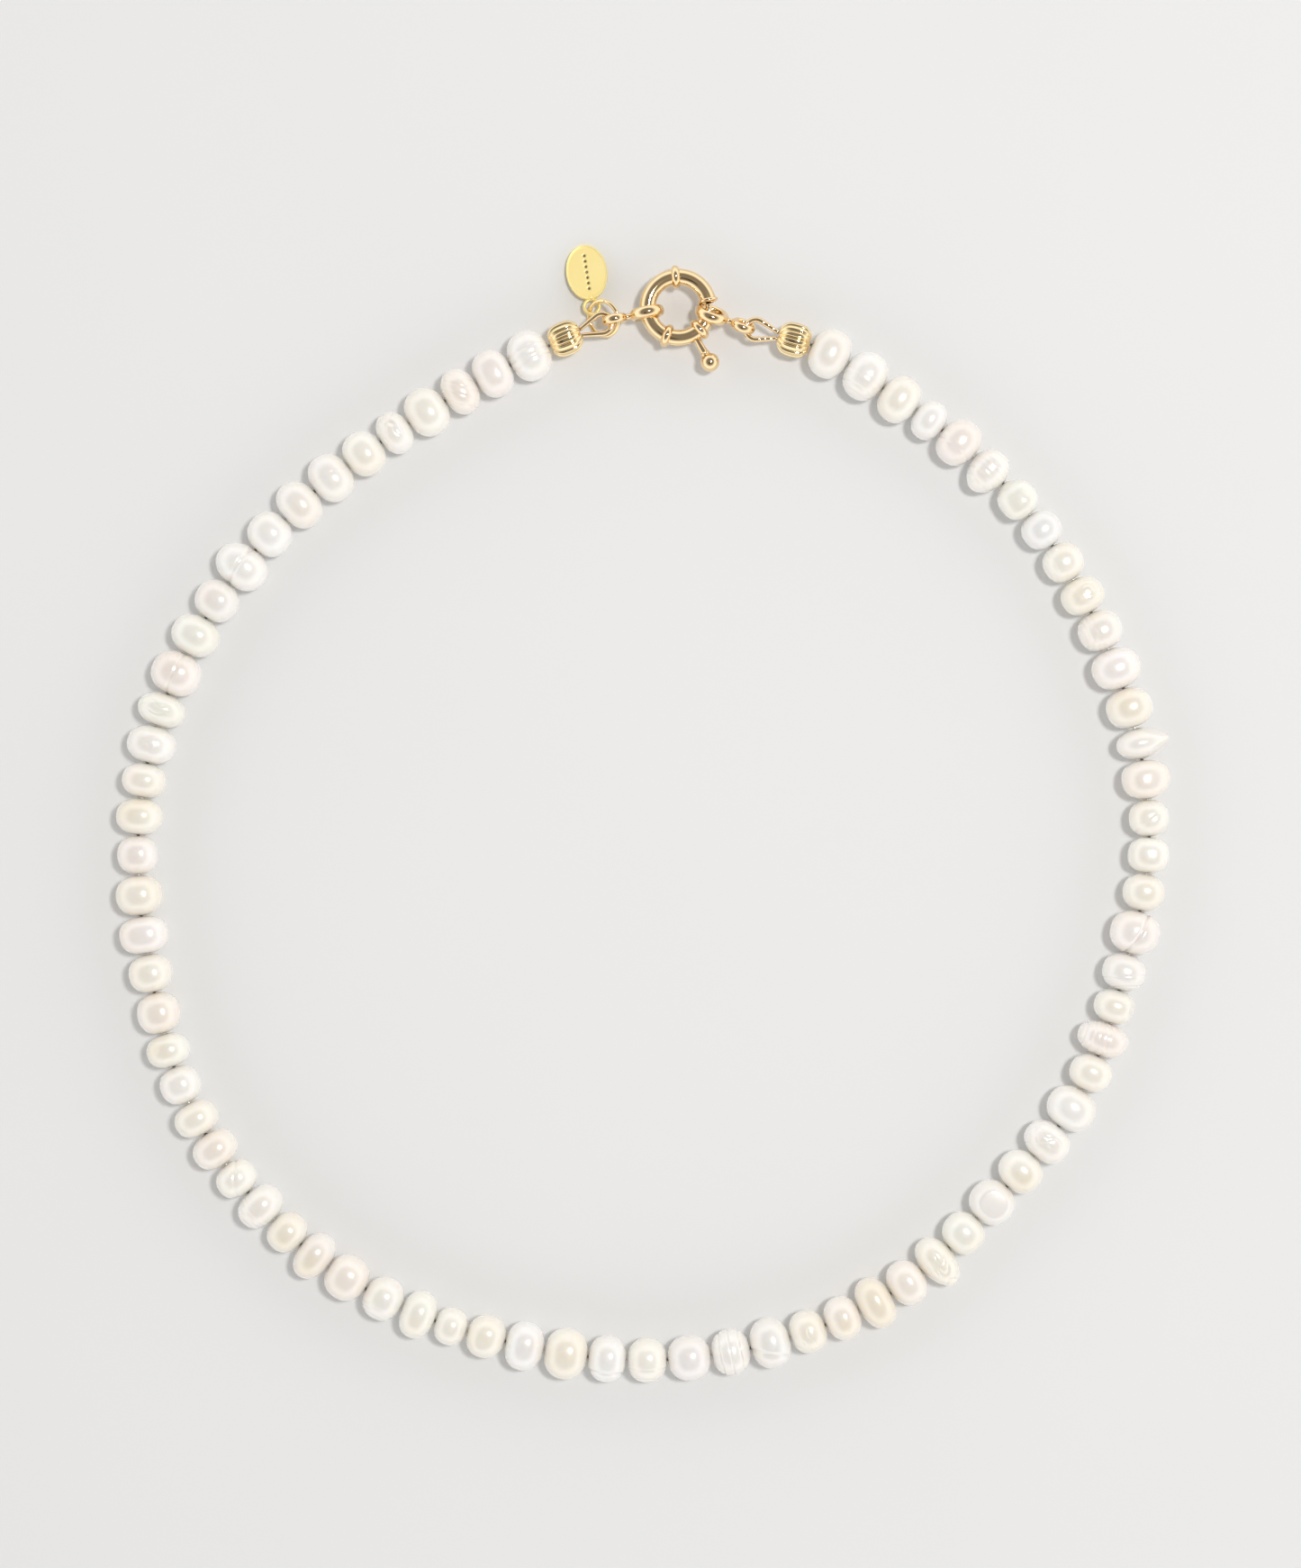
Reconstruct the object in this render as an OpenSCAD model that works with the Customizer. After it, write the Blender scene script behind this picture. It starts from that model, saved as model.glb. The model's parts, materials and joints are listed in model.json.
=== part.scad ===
/* [Strand] */
// Height of the beading wire above the table
wire_height = 2.95; // [2.9:0.05:3.2]
// Diameter of the beading wire
wire_size = 0.42; // [0.3:0.02:0.46]
// Diameter of the hole drilled through each pearl
drill_size = 0.9; // [0.8:0.02:0.96]
// Share of its place along the wire that each pearl fills
pearl_fill = 0.98; // [0.94:0.005:0.985]
// Where the first pearl starts, in degrees clockwise from the clasp
first_pearl_angle = 18.6; // [18.5:0.1:19]
// Where the last pearl ends, in degrees clockwise from the clasp
last_pearl_angle = 349.2; // [348.5:0.1:349.3]

/* [Clasp] */
// Radius of the clasp ring, to the middle of its tube
clasp_radius = 4; // [3.95:0.05:4.05]
// Diameter of the clasp's tube
clasp_tube = 2.15; // [2.05:0.05:2.15]
// Diameter of the sliding bolt
bolt_size = 0.84; // [0.7:0.02:0.9]
// Travel of the bolt and its trigger, in degrees
bolt_travel = 35; // [30:1:35]
// Diameter of the ball on the trigger
ball_size = 2.5; // [2:0.1:2.6]

/* [Links] */
// Radius of a connector's big ring, to the middle of its wire
big_ring = 1.82; // [1.8:0.01:1.84]
// Diameter of the big ring's wire
big_wire = 1.0; // [0.9:0.02:1]
// Radius of a connector's small ring, to the middle of its wire
small_ring = 1.28; // [1.26:0.01:1.3]
// Diameter of the small ring's wire
small_wire = 0.84; // [0.76:0.02:0.84]
// Distance between the two rings of a connector
ring_spacing = 4.35; // [4.25:0.05:4.4]
// Diameter of the wire guardians' tube
guardian_tube = 0.76; // [0.7:0.02:0.76]
// Length of a ribbed bead
ribbed_length = 4.2; // [4:0.1:4.3]
// Diameter of a ribbed bead
ribbed_size = 4.6; // [4.4:0.1:4.8]
// Number of ribs round a ribbed bead
rib_count = 14; // [13:1:18]

/* [Tag] */
// Width of the oval tag
tag_width = 5.4; // [5:0.1:5.6]
// Length of the oval, without its eyelet
tag_oval = 7.4; // [7:0.1:7.4]
// Thickness of the tag
tag_thickness = 0.7; // [0.5:0.05:0.7]
// Radius of the tag's jump ring, to the middle of its wire
jump_ring = 2.32; // [2.3:0.01:2.34]
// Diameter of the jump ring's wire
jump_wire = 0.56; // [0.5:0.02:0.58]

/* [Hidden] */
$fn = 40;
pearl_count = 75;

// Middle of the strand's loop, and the wire's distance from it every 15 degrees, clockwise from the clasp
loop_middle = [-0.1, -3.5];
loop_radii = [69.0, 69.2, 66.9, 66.5, 65.9, 66.0, 66.2, 65.2, 66.0, 65.6, 67.3, 67.7,
              67.9, 67.9, 68.9, 69.3, 68.8, 66.9, 66.3, 65.5, 64.2, 63.1, 62.8, 65.0];

// Each pearl clockwise from the clasp: length along the wire, width across it, outward offset
pearl_sizes = [
    [5.4, 6.6, 0], [5.6, 6.6, 0], [5.2, 6.5, 0], [4.3, 5.4, 0], [5.4, 6.4, 0],
    [5.2, 6.3, -0.3], [5.4, 5.5, 0], [5.0, 5.4, 0], [5.2, 5.4, 0], [4.9, 5.8, 0],
    [5.3, 5.9, 0], [5.5, 6.5, 0], [5.3, 6.1, 0], [4.4, 7.0, 0.5], [5.2, 6.4, 0.1],
    [4.9, 5.3, 0], [4.8, 5.4, 0], [5.0, 5.5, 0], [5.8, 6.6, 0], [4.9, 5.8, 0],
    [4.5, 5.5, 0], [4.5, 6.8, -0.2], [4.9, 5.7, 0], [5.7, 6.6, 0], [5.1, 6.3, 0],
    [5.3, 6.0, 0], [5.7, 6.1, 0], [5.3, 5.7, 0], [4.7, 7.2, 0.4], [5.0, 6.1, 0],
    [4.7, 7.0, 0.1], [4.8, 5.8, 0], [4.9, 5.7, 0], [5.4, 6.7, 0], [5.2, 6.0, 0],
    [5.8, 5.9, 0], [5.3, 5.8, 0], [5.1, 6.1, 0], [5.8, 6.7, 0], [5.2, 6.4, 0],
    [5.2, 5.7, 0], [4.4, 5.0, 0], [4.7, 6.4, 0], [5.3, 5.8, 0], [5.7, 6.1, 0],
    [4.6, 6.6, 0.1], [4.8, 5.5, 0], [4.9, 6.3, 0], [4.7, 5.5, 0], [4.8, 6.1, 0],
    [4.6, 5.9, 0], [5.1, 5.4, 0], [4.5, 5.7, 0], [5.5, 5.7, 0], [5.1, 5.7, 0],
    [5.0, 6.4, 0], [5.4, 6.1, 0], [5.2, 5.3, 0], [4.9, 6.1, 0], [4.6, 5.8, 0],
    [5.0, 6.5, 0], [4.4, 6.3, 0], [5.8, 6.6, 0], [5.3, 6.4, 0], [5.4, 5.9, 0],
    [5.6, 7.2, 0], [5.6, 6.0, 0], [5.3, 6.6, 0], [5.5, 6.6, 0], [5.3, 6.1, 0],
    [4.4, 5.9, 0], [5.6, 6.5, 0], [4.7, 6.3, 0], [5.0, 6.4, 0], [5.7, 6.7, 0]];

// Heights are as the widths, up to what the table leaves under the wire
tallest_pearl = 2 * wire_height - 0.1;

// Two pearls share a node, and the last pearl has one of its own
function two_digits(n) = n < 10 ? str("0", n) : str(n);
function pair_name(first) = first < pearl_count
    ? str("pearls_", two_digits(first), "_", two_digits(first + 1))
    : str("pearl_", two_digits(first));
pair_starts = [for (first = [1 : 2 : pearl_count]) first];

HARDWARE = ["clasp_ring", "clasp_end_ferrule", "clasp_collar_top", "clasp_collar_left",
            "clasp_collar_right", "clasp_bolt", "clasp_spring", "clasp_trigger",
            "connector_left", "connector_right", "guardian_left", "guardian_right",
            "crimp_left", "crimp_right", "ribbed_bead_left", "ribbed_bead_right",
            "tag_jump_ring", "tag", "beading_wire"];

// ---- the wire's path: a smooth closed curve through loop_radii
function wrapped(i) = loop_radii[(i + len(loop_radii)) % len(loop_radii)];
function blend_four(a, b, c, d, t) =
    0.5 * (2 * b + (c - a) * t + (2 * a - 5 * b + 4 * c - d) * t * t
    + (3 * b - a - 3 * c + d) * t * t * t);
function path_radius(angle) = let (step = 15, i = floor(angle / step), t = angle / step - i)
    blend_four(wrapped(i - 1), wrapped(i), wrapped(i + 1), wrapped(i + 2), t);
function path_point(angle) = loop_middle + path_radius(angle) * [sin(angle), cos(angle)];
function path_heading(angle) = let (ahead = path_point(angle + 0.2) - path_point(angle - 0.2))
    atan2(ahead.y, ahead.x);

// ---- the pearls' places: each takes an angle in proportion to its length over the path's stretch
function running_sum(values) = [for (i = 0, total = 0; i <= len(values);
    total = total + (i < len(values) ? values[i] : 0), i = i + 1) total];
function stretch(angle) = norm(path_point(angle + 0.5) - path_point(angle - 0.5));
lengths = [for (p = pearl_sizes) p[0]];
pearl_span = last_pearl_angle - first_pearl_angle;
even_edges = running_sum(lengths);
rough_angles = [for (i = [0 : pearl_count - 1])
    first_pearl_angle + pearl_span * (even_edges[i] + even_edges[i + 1]) / 2 / even_edges[pearl_count]];
weights = [for (i = [0 : pearl_count - 1]) lengths[i] / stretch(rough_angles[i])];
weight_edges = running_sum(weights);
edge_angles = [for (w = weight_edges) first_pearl_angle + pearl_span * w / weight_edges[pearl_count]];
function pearl_angle(i) = (edge_angles[i] + edge_angles[i + 1]) / 2;
function pearl_room(i) = norm(path_point(edge_angles[i + 1]) - path_point(edge_angles[i]));

// ---- places of the metal parts, in the plane of the wire
function toward(angle) = [cos(angle), sin(angle)];
clasp_middle = [4.4, 66.5];
// The left connector's big ring hangs on the clasp's tube
left_heading = 11.3;
left_hang_angle = 190;
left_hang_gap = 0.16;
left_big = clasp_middle + clasp_radius * toward(left_hang_angle) - left_hang_gap * toward(left_heading);
left_small = left_big - ring_spacing * toward(left_heading);
// The right connector leans, and its big ring hangs on the bolt, pulled outwards
right_heading = -20;
right_lean = 22;
right_hang_angle = -12;
right_big = clasp_middle + (clasp_radius + 0.5) * toward(right_hang_angle);
right_small = right_big + ring_spacing * toward(right_heading);
// A guardian's bend sits in its small ring, hooked round the ring's outer side
bend_clearance = 0.04;
bend_inset = small_ring - small_wire / 2 - bend_clearance - guardian_tube / 2;
left_bend = left_small - bend_inset * toward(left_heading);
right_bend = right_small + bend_inset * toward(right_heading);
left_run = 202;
right_run = -15;
bend_radius = 1.3;
bend_half_angle = 108;
leg_length = 2.7;
bend_end = bend_radius * [1 - cos(bend_half_angle), sin(bend_half_angle)];
leg_end = bend_end + leg_length * [sin(bend_half_angle), cos(bend_half_angle)];
bead_distance = 6.5;
wire_gap = 0.235;
crimp_length = 1.8;
crimp_size = 1.3;
crimp_bore = 1.0;
bead_bore = crimp_size + 0.1;

// ---- shared shapes
module on_wire(place, angle) {
    translate([place.x, place.y, wire_height]) rotate([0, 0, angle]) children();
}

module wire_ring(radius, thickness) {
    rotate_extrude($fn = 96) translate([radius, 0]) circle(d = thickness, $fn = 32);
}

module arc_tube(radius, thickness, from, to) {
    rotate([0, 0, from]) rotate_extrude(angle = to - from, $fn = 96)
        translate([radius, 0]) circle(d = thickness, $fn = 32);
}

// Rings of points round a flat path, and the walls between two such rings
function path_rings(points, thickness, sides, height) =
    let (last = len(points) - 1)
    [for (i = [0 : last]) let (d = points[min(i + 1, last)] - points[max(i - 1, 0)],
        side = [-d.y, d.x] / norm(d))
        for (k = [0 : sides - 1]) let (c = thickness / 2 * cos(k * 360 / sides))
            [points[i].x + side.x * c, points[i].y + side.y * c,
             height + thickness / 2 * sin(k * 360 / sides)]];
function wall_faces(rings, sides, first) =
    [for (i = [0 : rings - 2], k = [0 : sides - 1]) let (n = (k + 1) % sides, a = first + i * sides)
        [a + k, a + n, a + sides + n, a + sides + k]];
function flipped(faces) = [for (f = faces) [for (i = [len(f) - 1 : -1 : 0]) f[i]]];

// A wire swept along flat points, with flat ends
module swept_wire(points, thickness, sides) {
    end = (len(points) - 1) * sides;
    ends = [[for (k = [sides - 1 : -1 : 0]) k], [for (k = [0 : sides - 1]) end + k]];
    polyhedron(path_rings(points, thickness, sides, wire_height),
        concat(wall_faces(len(points), sides, 0), ends));
}

// A hollow tube swept along flat points in the XY plane
module swept_tube(points, outer, inner, sides) {
    count = len(points);
    core = count * sides;
    end = (count - 1) * sides;
    rims = [for (k = [0 : sides - 1]) let (n = (k + 1) % sides)
        each [[k, core + k, core + n, n], [end + n, core + end + n, core + end + k, end + k]]];
    polyhedron(
        concat(path_rings(points, outer, sides, 0), path_rings(points, inner, sides, 0)),
        concat(wall_faces(count, sides, 0), flipped(wall_faces(count, sides, core)), rims));
}

// ---- pearls
// A bead turned about the wire, with rounded ends; the ends' arcs match an oval of its length and size
module turned_bead(length, size) {
    outward = (size - length) / 2;
    end_radius = pow(size, 2) / length / 2;
    rotate([0, 90, 0]) rotate_extrude($fn = 64) intersection() {
        union() {
            translate([outward, 0]) circle(d = length, $fn = 48);
            if (outward > 0) translate([0, -length / 2]) square([outward, length]);
        }
        translate([0, -length]) square([size, 2 * length]);
        if (outward > 0) intersection_for(end = [-1, 1])
            translate([0, end * (end_radius - length / 2)]) circle(r = end_radius, $fn = 96);
    }
}

// A pearl wider than the wire's height allows is flat above and below
module drilled_pearl(i) {
    length = pearl_fill * pearl_room(i);
    width = pearl_sizes[i][1];
    outward = pearl_sizes[i][2];
    angle = pearl_angle(i);
    on_wire(path_point(angle), path_heading(angle)) difference() {
        translate([0, outward, 0]) intersection() {
            turned_bead(length, width);
            if (width > tallest_pearl) cube([2 * width, 2 * width, tallest_pearl], center = true);
            else cube(2 * width, center = true);
        }
        rotate([0, 90, 0]) cylinder(d = drill_size, h = length + 1, center = true, $fn = 24);
    }
}

module pearl_pair(first) {
    color("seashell") for (n = [first : min(first + 1, pearl_count)]) drilled_pearl(n - 1);
}

// ---- the beading wire, with a loop at each end that goes round its guardian and back into the crimp
function bend_points() = [for (a = [-bend_half_angle : 18 : bend_half_angle])
    bend_radius * [1 - cos(a), sin(a)]];
tail = bead_distance - crimp_length / 2 + 0.1;
function loop_points() = concat(
    [[bead_distance + crimp_length / 2, -wire_gap], [tail, -wire_gap], [leg_end.x, -leg_end.y]],
    bend_points(),
    [[leg_end.x, leg_end.y], [tail, wire_gap], [bead_distance + crimp_length / 2, wire_gap]]);
function placed(points, origin, run) =
    [for (p = points) origin + p.x * toward(run) + p.y * toward(run + 90)];
function backwards(points) = [for (i = [len(points) - 1 : -1 : 0]) points[i]];
strand_step = 6;
strand_points = [for (a = [first_pearl_angle : strand_step : last_pearl_angle]) path_point(a)];

module beading_wire() {
    route = concat(
        placed(loop_points(), right_bend, right_run),
        strand_points, [path_point(last_pearl_angle)],
        backwards(placed(loop_points(), left_bend, left_run)));
    color("silver") swept_wire(route, wire_size, 8);
}

// ---- ribbed beads, crimps and guardians, each built along +X from its bend
module ribbed_bead() {
    rib = 0.95;
    translate([bead_distance, 0, 0]) rotate([0, 90, 0]) difference() {
        intersection() {
            translate([0, 0, -ribbed_length / 2]) linear_extrude(ribbed_length) union() {
                circle(d = ribbed_size - rib * 0.9, $fn = 64);
                for (k = [0 : rib_count - 1]) rotate(k * 360 / rib_count)
                    translate([(ribbed_size - rib) / 2, 0]) circle(d = rib, $fn = 24);
            }
            sphere(d = ribbed_size + 0.45, $fn = 64);
        }
        cylinder(d = bead_bore, h = ribbed_length + 2, center = true, $fn = 32);
    }
}

module crimp_tube() {
    translate([bead_distance, 0, 0]) rotate([0, 90, 0]) difference() {
        cylinder(d = crimp_size, h = crimp_length, center = true);
        cylinder(d = crimp_bore, h = crimp_length + 1, center = true);
    }
}

// A guardian: one thin tube bent round into two legs, with the wire's loop inside it
module guardian() {
    wall = 0.1;
    color("gold") swept_tube(concat([[leg_end.x, -leg_end.y]], bend_points(), [leg_end]),
        guardian_tube, guardian_tube - 2 * wall, 20);
}

// ---- connectors: a big and a small ring, soldered in line, upright along +X
module connector() {
    rotate([90, 0, 0]) {
        wire_ring(big_ring, big_wire);
        translate([ring_spacing, 0, 0]) wire_ring(small_ring, small_wire);
        translate([(ring_spacing + big_ring - small_ring) / 2, 0, 0]) rotate([0, 90, 0])
            cylinder(d = 0.62, h = ring_spacing - big_ring - small_ring, center = true);
    }
}

// ---- clasp: a hollow ring with a mouth, from 9 degrees round to 333
ferrule_angle = 9;
mouth_angle = 333;
bolt_tip = 11;
bolt_tail = -76;
trigger_angle = -60;
clasp_bore = 1.5;
// The trigger's post and its room in the slot
post_size = 0.84;
slot_room_behind = 9;
slot_room_ahead = 6;
slot_start = trigger_angle - bolt_travel - slot_room_behind;
slot_end = trigger_angle + slot_room_ahead;

module in_clasp(angle) {
    translate([clasp_middle.x, clasp_middle.y, wire_height]) rotate([0, 0, angle]) children();
}

module clasp_ring() {
    slot_height = 1.0;
    color("goldenrod") in_clasp(0) difference() {
        arc_tube(clasp_radius, clasp_tube, ferrule_angle, mouth_angle);
        arc_tube(clasp_radius, clasp_bore, 172, mouth_angle + 1);
        arc_tube(clasp_radius, clasp_bore, ferrule_angle - 1, 166);
        // the trigger's slot, in the outer wall between two collars
        rotate([0, 0, slot_start]) rotate_extrude(angle = slot_end - slot_start, $fn = 96)
            translate([clasp_radius, -slot_height / 2]) square([2, slot_height]);
    }
}

// A wire collar wrapped round the clasp's tube
module collar(angle, thickness, radius) {
    in_clasp(angle) difference() {
        translate([clasp_radius, 0, 0]) rotate([90, 0, 0]) wire_ring(radius, thickness);
        wire_ring(clasp_radius, clasp_tube + 0.02);
    }
}

module clasp_collar_top() { color("gold") collar(95, 1.1, 1.0); }
module clasp_collar_left() { color("gold") collar(248, 1.1, 1.0); }
module clasp_collar_right() { color("gold") collar(314, 1.1, 1.0); }
module clasp_end_ferrule() { color("gold") collar(ferrule_angle + 4, 0.5, 1.08); }

module clasp_bolt() {
    color("lightgray") in_clasp(0) union() {
        arc_tube(clasp_radius, bolt_size, bolt_tail, bolt_tip);
        arc_tube(clasp_radius, 1.3, bolt_tail, bolt_tail + 8);
    }
}

module clasp_trigger() {
    ball_distance = 8.3;
    color("goldenrod") in_clasp(trigger_angle) difference() {
        union() {
            translate([clasp_radius, 0, 0]) rotate([0, 90, 0])
                cylinder(d = post_size, h = ball_distance - clasp_radius);
            translate([ball_distance, 0, 0]) sphere(d = ball_size);
        }
        rotate([0, 0, -trigger_angle]) wire_ring(clasp_radius, bolt_size + 0.01);
    }
}

// A compression spring that follows the clasp's tube behind the bolt
module clasp_spring() {
    turns = 16;
    steps = 12;
    sides = 6;
    first_angle = bolt_tail - 2;
    sweep = -104;
    coil_radius = 0.56;
    wire = 0.16;
    count = turns * steps;
    function middle(i) = let (a = first_angle + sweep * i / count, c = i * 360 / steps,
        r = clasp_radius + coil_radius * cos(c)) [r * cos(a), r * sin(a), coil_radius * sin(c)];
    function unit(v) = v / norm(v);
    function ahead(i) = unit(middle(i + 1) - middle(i - 1));
    function outward(i) = let (a = first_angle + sweep * i / count)
        unit(middle(i) - clasp_radius * [cos(a), sin(a), 0]);
    rings = [for (i = [0 : count]) let (o = outward(i), s = cross(ahead(i), o))
        for (k = [0 : sides - 1]) middle(i) + wire / 2 * (o * cos(k * 60) + s * sin(k * 60))];
    walls = [for (i = [0 : count - 1], k = [0 : sides - 1]) let (n = (k + 1) % sides)
        each [[i * sides + k, i * sides + n, (i + 1) * sides + n],
              [i * sides + k, (i + 1) * sides + n, (i + 1) * sides + k]]];
    ends = [[for (k = [sides - 1 : -1 : 0]) k], [for (k = [0 : sides - 1]) count * sides + k]];
    color("silver") in_clasp(0) polyhedron(rings, concat(walls, ends));
}

// ---- tag and its jump ring
jump_middle = [-5.4, 65.2, 1.8];
jump_tilt = 39;
jump_azimuth = -152;
eyelet_place = [-6.95, 66.8, 1.3];
tag_turn = 8.5;
tag_droop = -6.2;

module tag_jump_ring() {
    color("gold") translate(jump_middle) rotate([0, jump_tilt, jump_azimuth])
        wire_ring(jump_ring, jump_wire);
}

module tag() {
    eyelet_hole = 1.6;
    eyelet_size = 2.5;
    eyelet_thickness = 0.45;
    oval_middle = 4.65;
    color("khaki") translate(eyelet_place) rotate([0, 0, tag_turn]) rotate([tag_droop, 0, 0])
        difference() {
            union() {
                translate([0, oval_middle, -tag_thickness / 2]) linear_extrude(tag_thickness)
                    polygon([for (a = [0 : 5 : 355]) [tag_width / 2 * cos(a), tag_oval / 2 * sin(a)]]);
                cylinder(d = eyelet_size, h = eyelet_thickness, center = true);
                translate([-0.7, 0.9, -eyelet_thickness / 2]) cube([1.4, 0.6, eyelet_thickness]);
            }
            cylinder(d = eyelet_hole, h = 2, center = true);
        }
}

// ---- the two ends
module ribbed_bead_left() { color("gold") on_wire(left_bend, left_run) ribbed_bead(); }
module ribbed_bead_right() { color("gold") on_wire(right_bend, right_run) ribbed_bead(); }
module crimp_left() { color("silver") on_wire(left_bend, left_run) crimp_tube(); }
module crimp_right() { color("silver") on_wire(right_bend, right_run) crimp_tube(); }
module guardian_left() { on_wire(left_bend, left_run) guardian(); }
module guardian_right() { on_wire(right_bend, right_run) guardian(); }
module connector_left() { color("goldenrod") on_wire(left_big, left_heading + 180) connector(); }
module connector_right() {
    color("goldenrod") on_wire(right_big, right_heading) rotate([right_lean, 0, 0]) connector();
}

clasp_ring();
clasp_end_ferrule();
clasp_collar_top();
clasp_collar_left();
clasp_collar_right();
clasp_bolt();
clasp_spring();
clasp_trigger();
connector_left();
connector_right();
guardian_left();
guardian_right();
crimp_left();
crimp_right();
ribbed_bead_left();
ribbed_bead_right();
tag_jump_ring();
tag();
beading_wire();
for (first = pair_starts) pearl_pair(first);
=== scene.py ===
import json
import math

import bpy
import numpy as np
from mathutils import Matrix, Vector


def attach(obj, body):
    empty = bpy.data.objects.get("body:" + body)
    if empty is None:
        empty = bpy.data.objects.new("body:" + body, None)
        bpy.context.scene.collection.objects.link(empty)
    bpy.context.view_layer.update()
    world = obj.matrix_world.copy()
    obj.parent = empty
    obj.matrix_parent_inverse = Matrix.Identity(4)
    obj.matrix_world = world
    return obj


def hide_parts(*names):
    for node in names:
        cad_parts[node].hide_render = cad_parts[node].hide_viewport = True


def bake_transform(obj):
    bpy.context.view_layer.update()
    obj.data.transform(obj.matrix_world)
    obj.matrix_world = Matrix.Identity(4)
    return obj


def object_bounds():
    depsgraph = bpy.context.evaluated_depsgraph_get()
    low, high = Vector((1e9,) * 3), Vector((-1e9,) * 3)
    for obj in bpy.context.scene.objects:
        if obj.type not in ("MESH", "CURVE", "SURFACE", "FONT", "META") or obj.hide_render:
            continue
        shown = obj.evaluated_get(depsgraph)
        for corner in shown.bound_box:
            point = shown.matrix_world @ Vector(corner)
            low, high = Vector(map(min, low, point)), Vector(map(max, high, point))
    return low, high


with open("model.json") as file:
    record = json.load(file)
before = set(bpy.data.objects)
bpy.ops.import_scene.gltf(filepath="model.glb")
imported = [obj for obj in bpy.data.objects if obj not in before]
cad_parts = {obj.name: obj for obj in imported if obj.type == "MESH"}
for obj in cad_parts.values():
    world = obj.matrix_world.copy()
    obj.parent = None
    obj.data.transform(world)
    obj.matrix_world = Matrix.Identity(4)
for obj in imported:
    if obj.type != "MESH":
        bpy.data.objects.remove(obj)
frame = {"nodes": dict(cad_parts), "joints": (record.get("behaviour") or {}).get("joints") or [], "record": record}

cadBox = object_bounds()
mm = 0.001
record = frame["record"]
bodyOfNode = {node: body for body, nodes in record["behaviour"]["bodies"].items() for node in nodes}
jointPlace = {joint["name"]: np.array(joint.get("pos_m", (0, 0, 0))) for joint in frame["joints"]}
jointAxis = {joint["name"]: np.array(joint["axis"], float) for joint in frame["joints"]}


# A shell is (points, quads, triangles) with its faces pointing outwards.
def gridShell(points, closeU=False, capStart=False, capEnd=False):
    # A grid of points[u, v] joined by quads. A cap is one point at the middle of the first or last row.
    rows, columns = points.shape[:2]
    index = np.arange(rows * columns).reshape(rows, columns)
    down = np.roll(index, -1, 0) if closeU else index[1:]
    here = index if closeU else index[:-1]
    right = np.roll(index, -1, 1)
    across = right if closeU else right[:-1]
    diagonal = np.roll(right, -1, 0) if closeU else right[1:]
    quads = np.stack([here, down, diagonal, across], -1).reshape(-1, 4)
    places = points.reshape(-1, 3)
    triangles = np.zeros((0, 3), int)
    for wanted, row, turned in ((capStart, 0, False), (capEnd, rows - 1, True)):
        if wanted:
            ring = index[row]
            tip = np.full(columns, len(places))
            places = np.vstack([places, points[row].mean(0)])
            fan = np.stack([ring, np.roll(ring, -1), tip], -1)
            triangles = np.vstack([triangles, fan[:, ::-1] if turned else fan])
    return facingOut((places, quads, triangles))


def facingOut(shell):
    # Turns every face round if the volume under them, the sum of a . (b x c) / 6, is negative.
    places, quads, triangles = shell
    corners = np.vstack([quads[:, :3], quads[:, [0, 2, 3]], triangles])
    a, b, c = (places[corners[:, k]] for k in range(3))
    if np.einsum("ij,ij->i", a, np.cross(b, c)).sum() < 0:
        quads, triangles = quads[:, ::-1], triangles[:, ::-1]
    return places, quads, triangles


def joined(shells):
    # Several shells as one, with their faces renumbered.
    starts = np.cumsum([0] + [len(s[0]) for s in shells[:-1]])
    return (np.vstack([s[0] for s in shells]),
            np.vstack([s[1] + start for s, start in zip(shells, starts)]),
            np.vstack([s[2] + start for s, start in zip(shells, starts)]))


def makePiece(name, shells, material, node, colours=None, stands=True, bends=None):
    # A smooth mesh object from shells. It rides on the node's body, or, when bends is given, stays fixed where it
    # is and rides on no body, and stands for the node.
    places, quads, triangles = joined(shells)
    mesh = bpy.data.meshes.new(name)
    mesh.vertices.add(len(places))
    mesh.vertices.foreach_set("co", places.astype(np.float32).ravel())
    corners = np.concatenate([quads.ravel(), triangles.ravel()])
    starts = np.concatenate([np.arange(len(quads)) * 4, len(quads) * 4 + np.arange(len(triangles)) * 3])
    mesh.loops.add(len(corners))
    mesh.loops.foreach_set("vertex_index", corners.astype(np.int32))
    mesh.polygons.add(len(starts))
    mesh.polygons.foreach_set("loop_start", starts.astype(np.int32))
    mesh.polygons.foreach_set("use_smooth", np.ones(len(starts), bool))
    mesh.update(calc_edges=True)
    for attribute, values in (colours or {}).items():
        layer = mesh.color_attributes.new(attribute, "FLOAT_COLOR", "POINT")
        rgba = np.hstack([values, np.ones((len(values), 1))])
        layer.data.foreach_set("color", rgba.astype(np.float32).ravel())
    mesh.materials.append(material)
    piece = bpy.data.objects.new(name, mesh)
    bpy.context.scene.collection.objects.link(piece)
    if bends:
        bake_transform(piece)
    else:
        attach(piece, bodyOfNode[node])
    if stands:
        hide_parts(node)
    return piece


# A basis is (origin, x, y, z) with unit axes.
def unit(v):
    return v / np.linalg.norm(v, axis=-1, keepdims=True)


def basisFrom(origin, zAxis, near):
    # Axes with z along zAxis, and x as near to the given direction as it can be.
    z = unit(np.asarray(zAxis, float))
    x = unit(np.asarray(near, float) - np.dot(near, z) * z)
    return np.asarray(origin, float), x, np.cross(z, x), z


def placed(points, basis):
    origin, x, y, z = basis
    return origin + points[..., 0:1] * x + points[..., 1:2] * y + points[..., 2:3] * z


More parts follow.
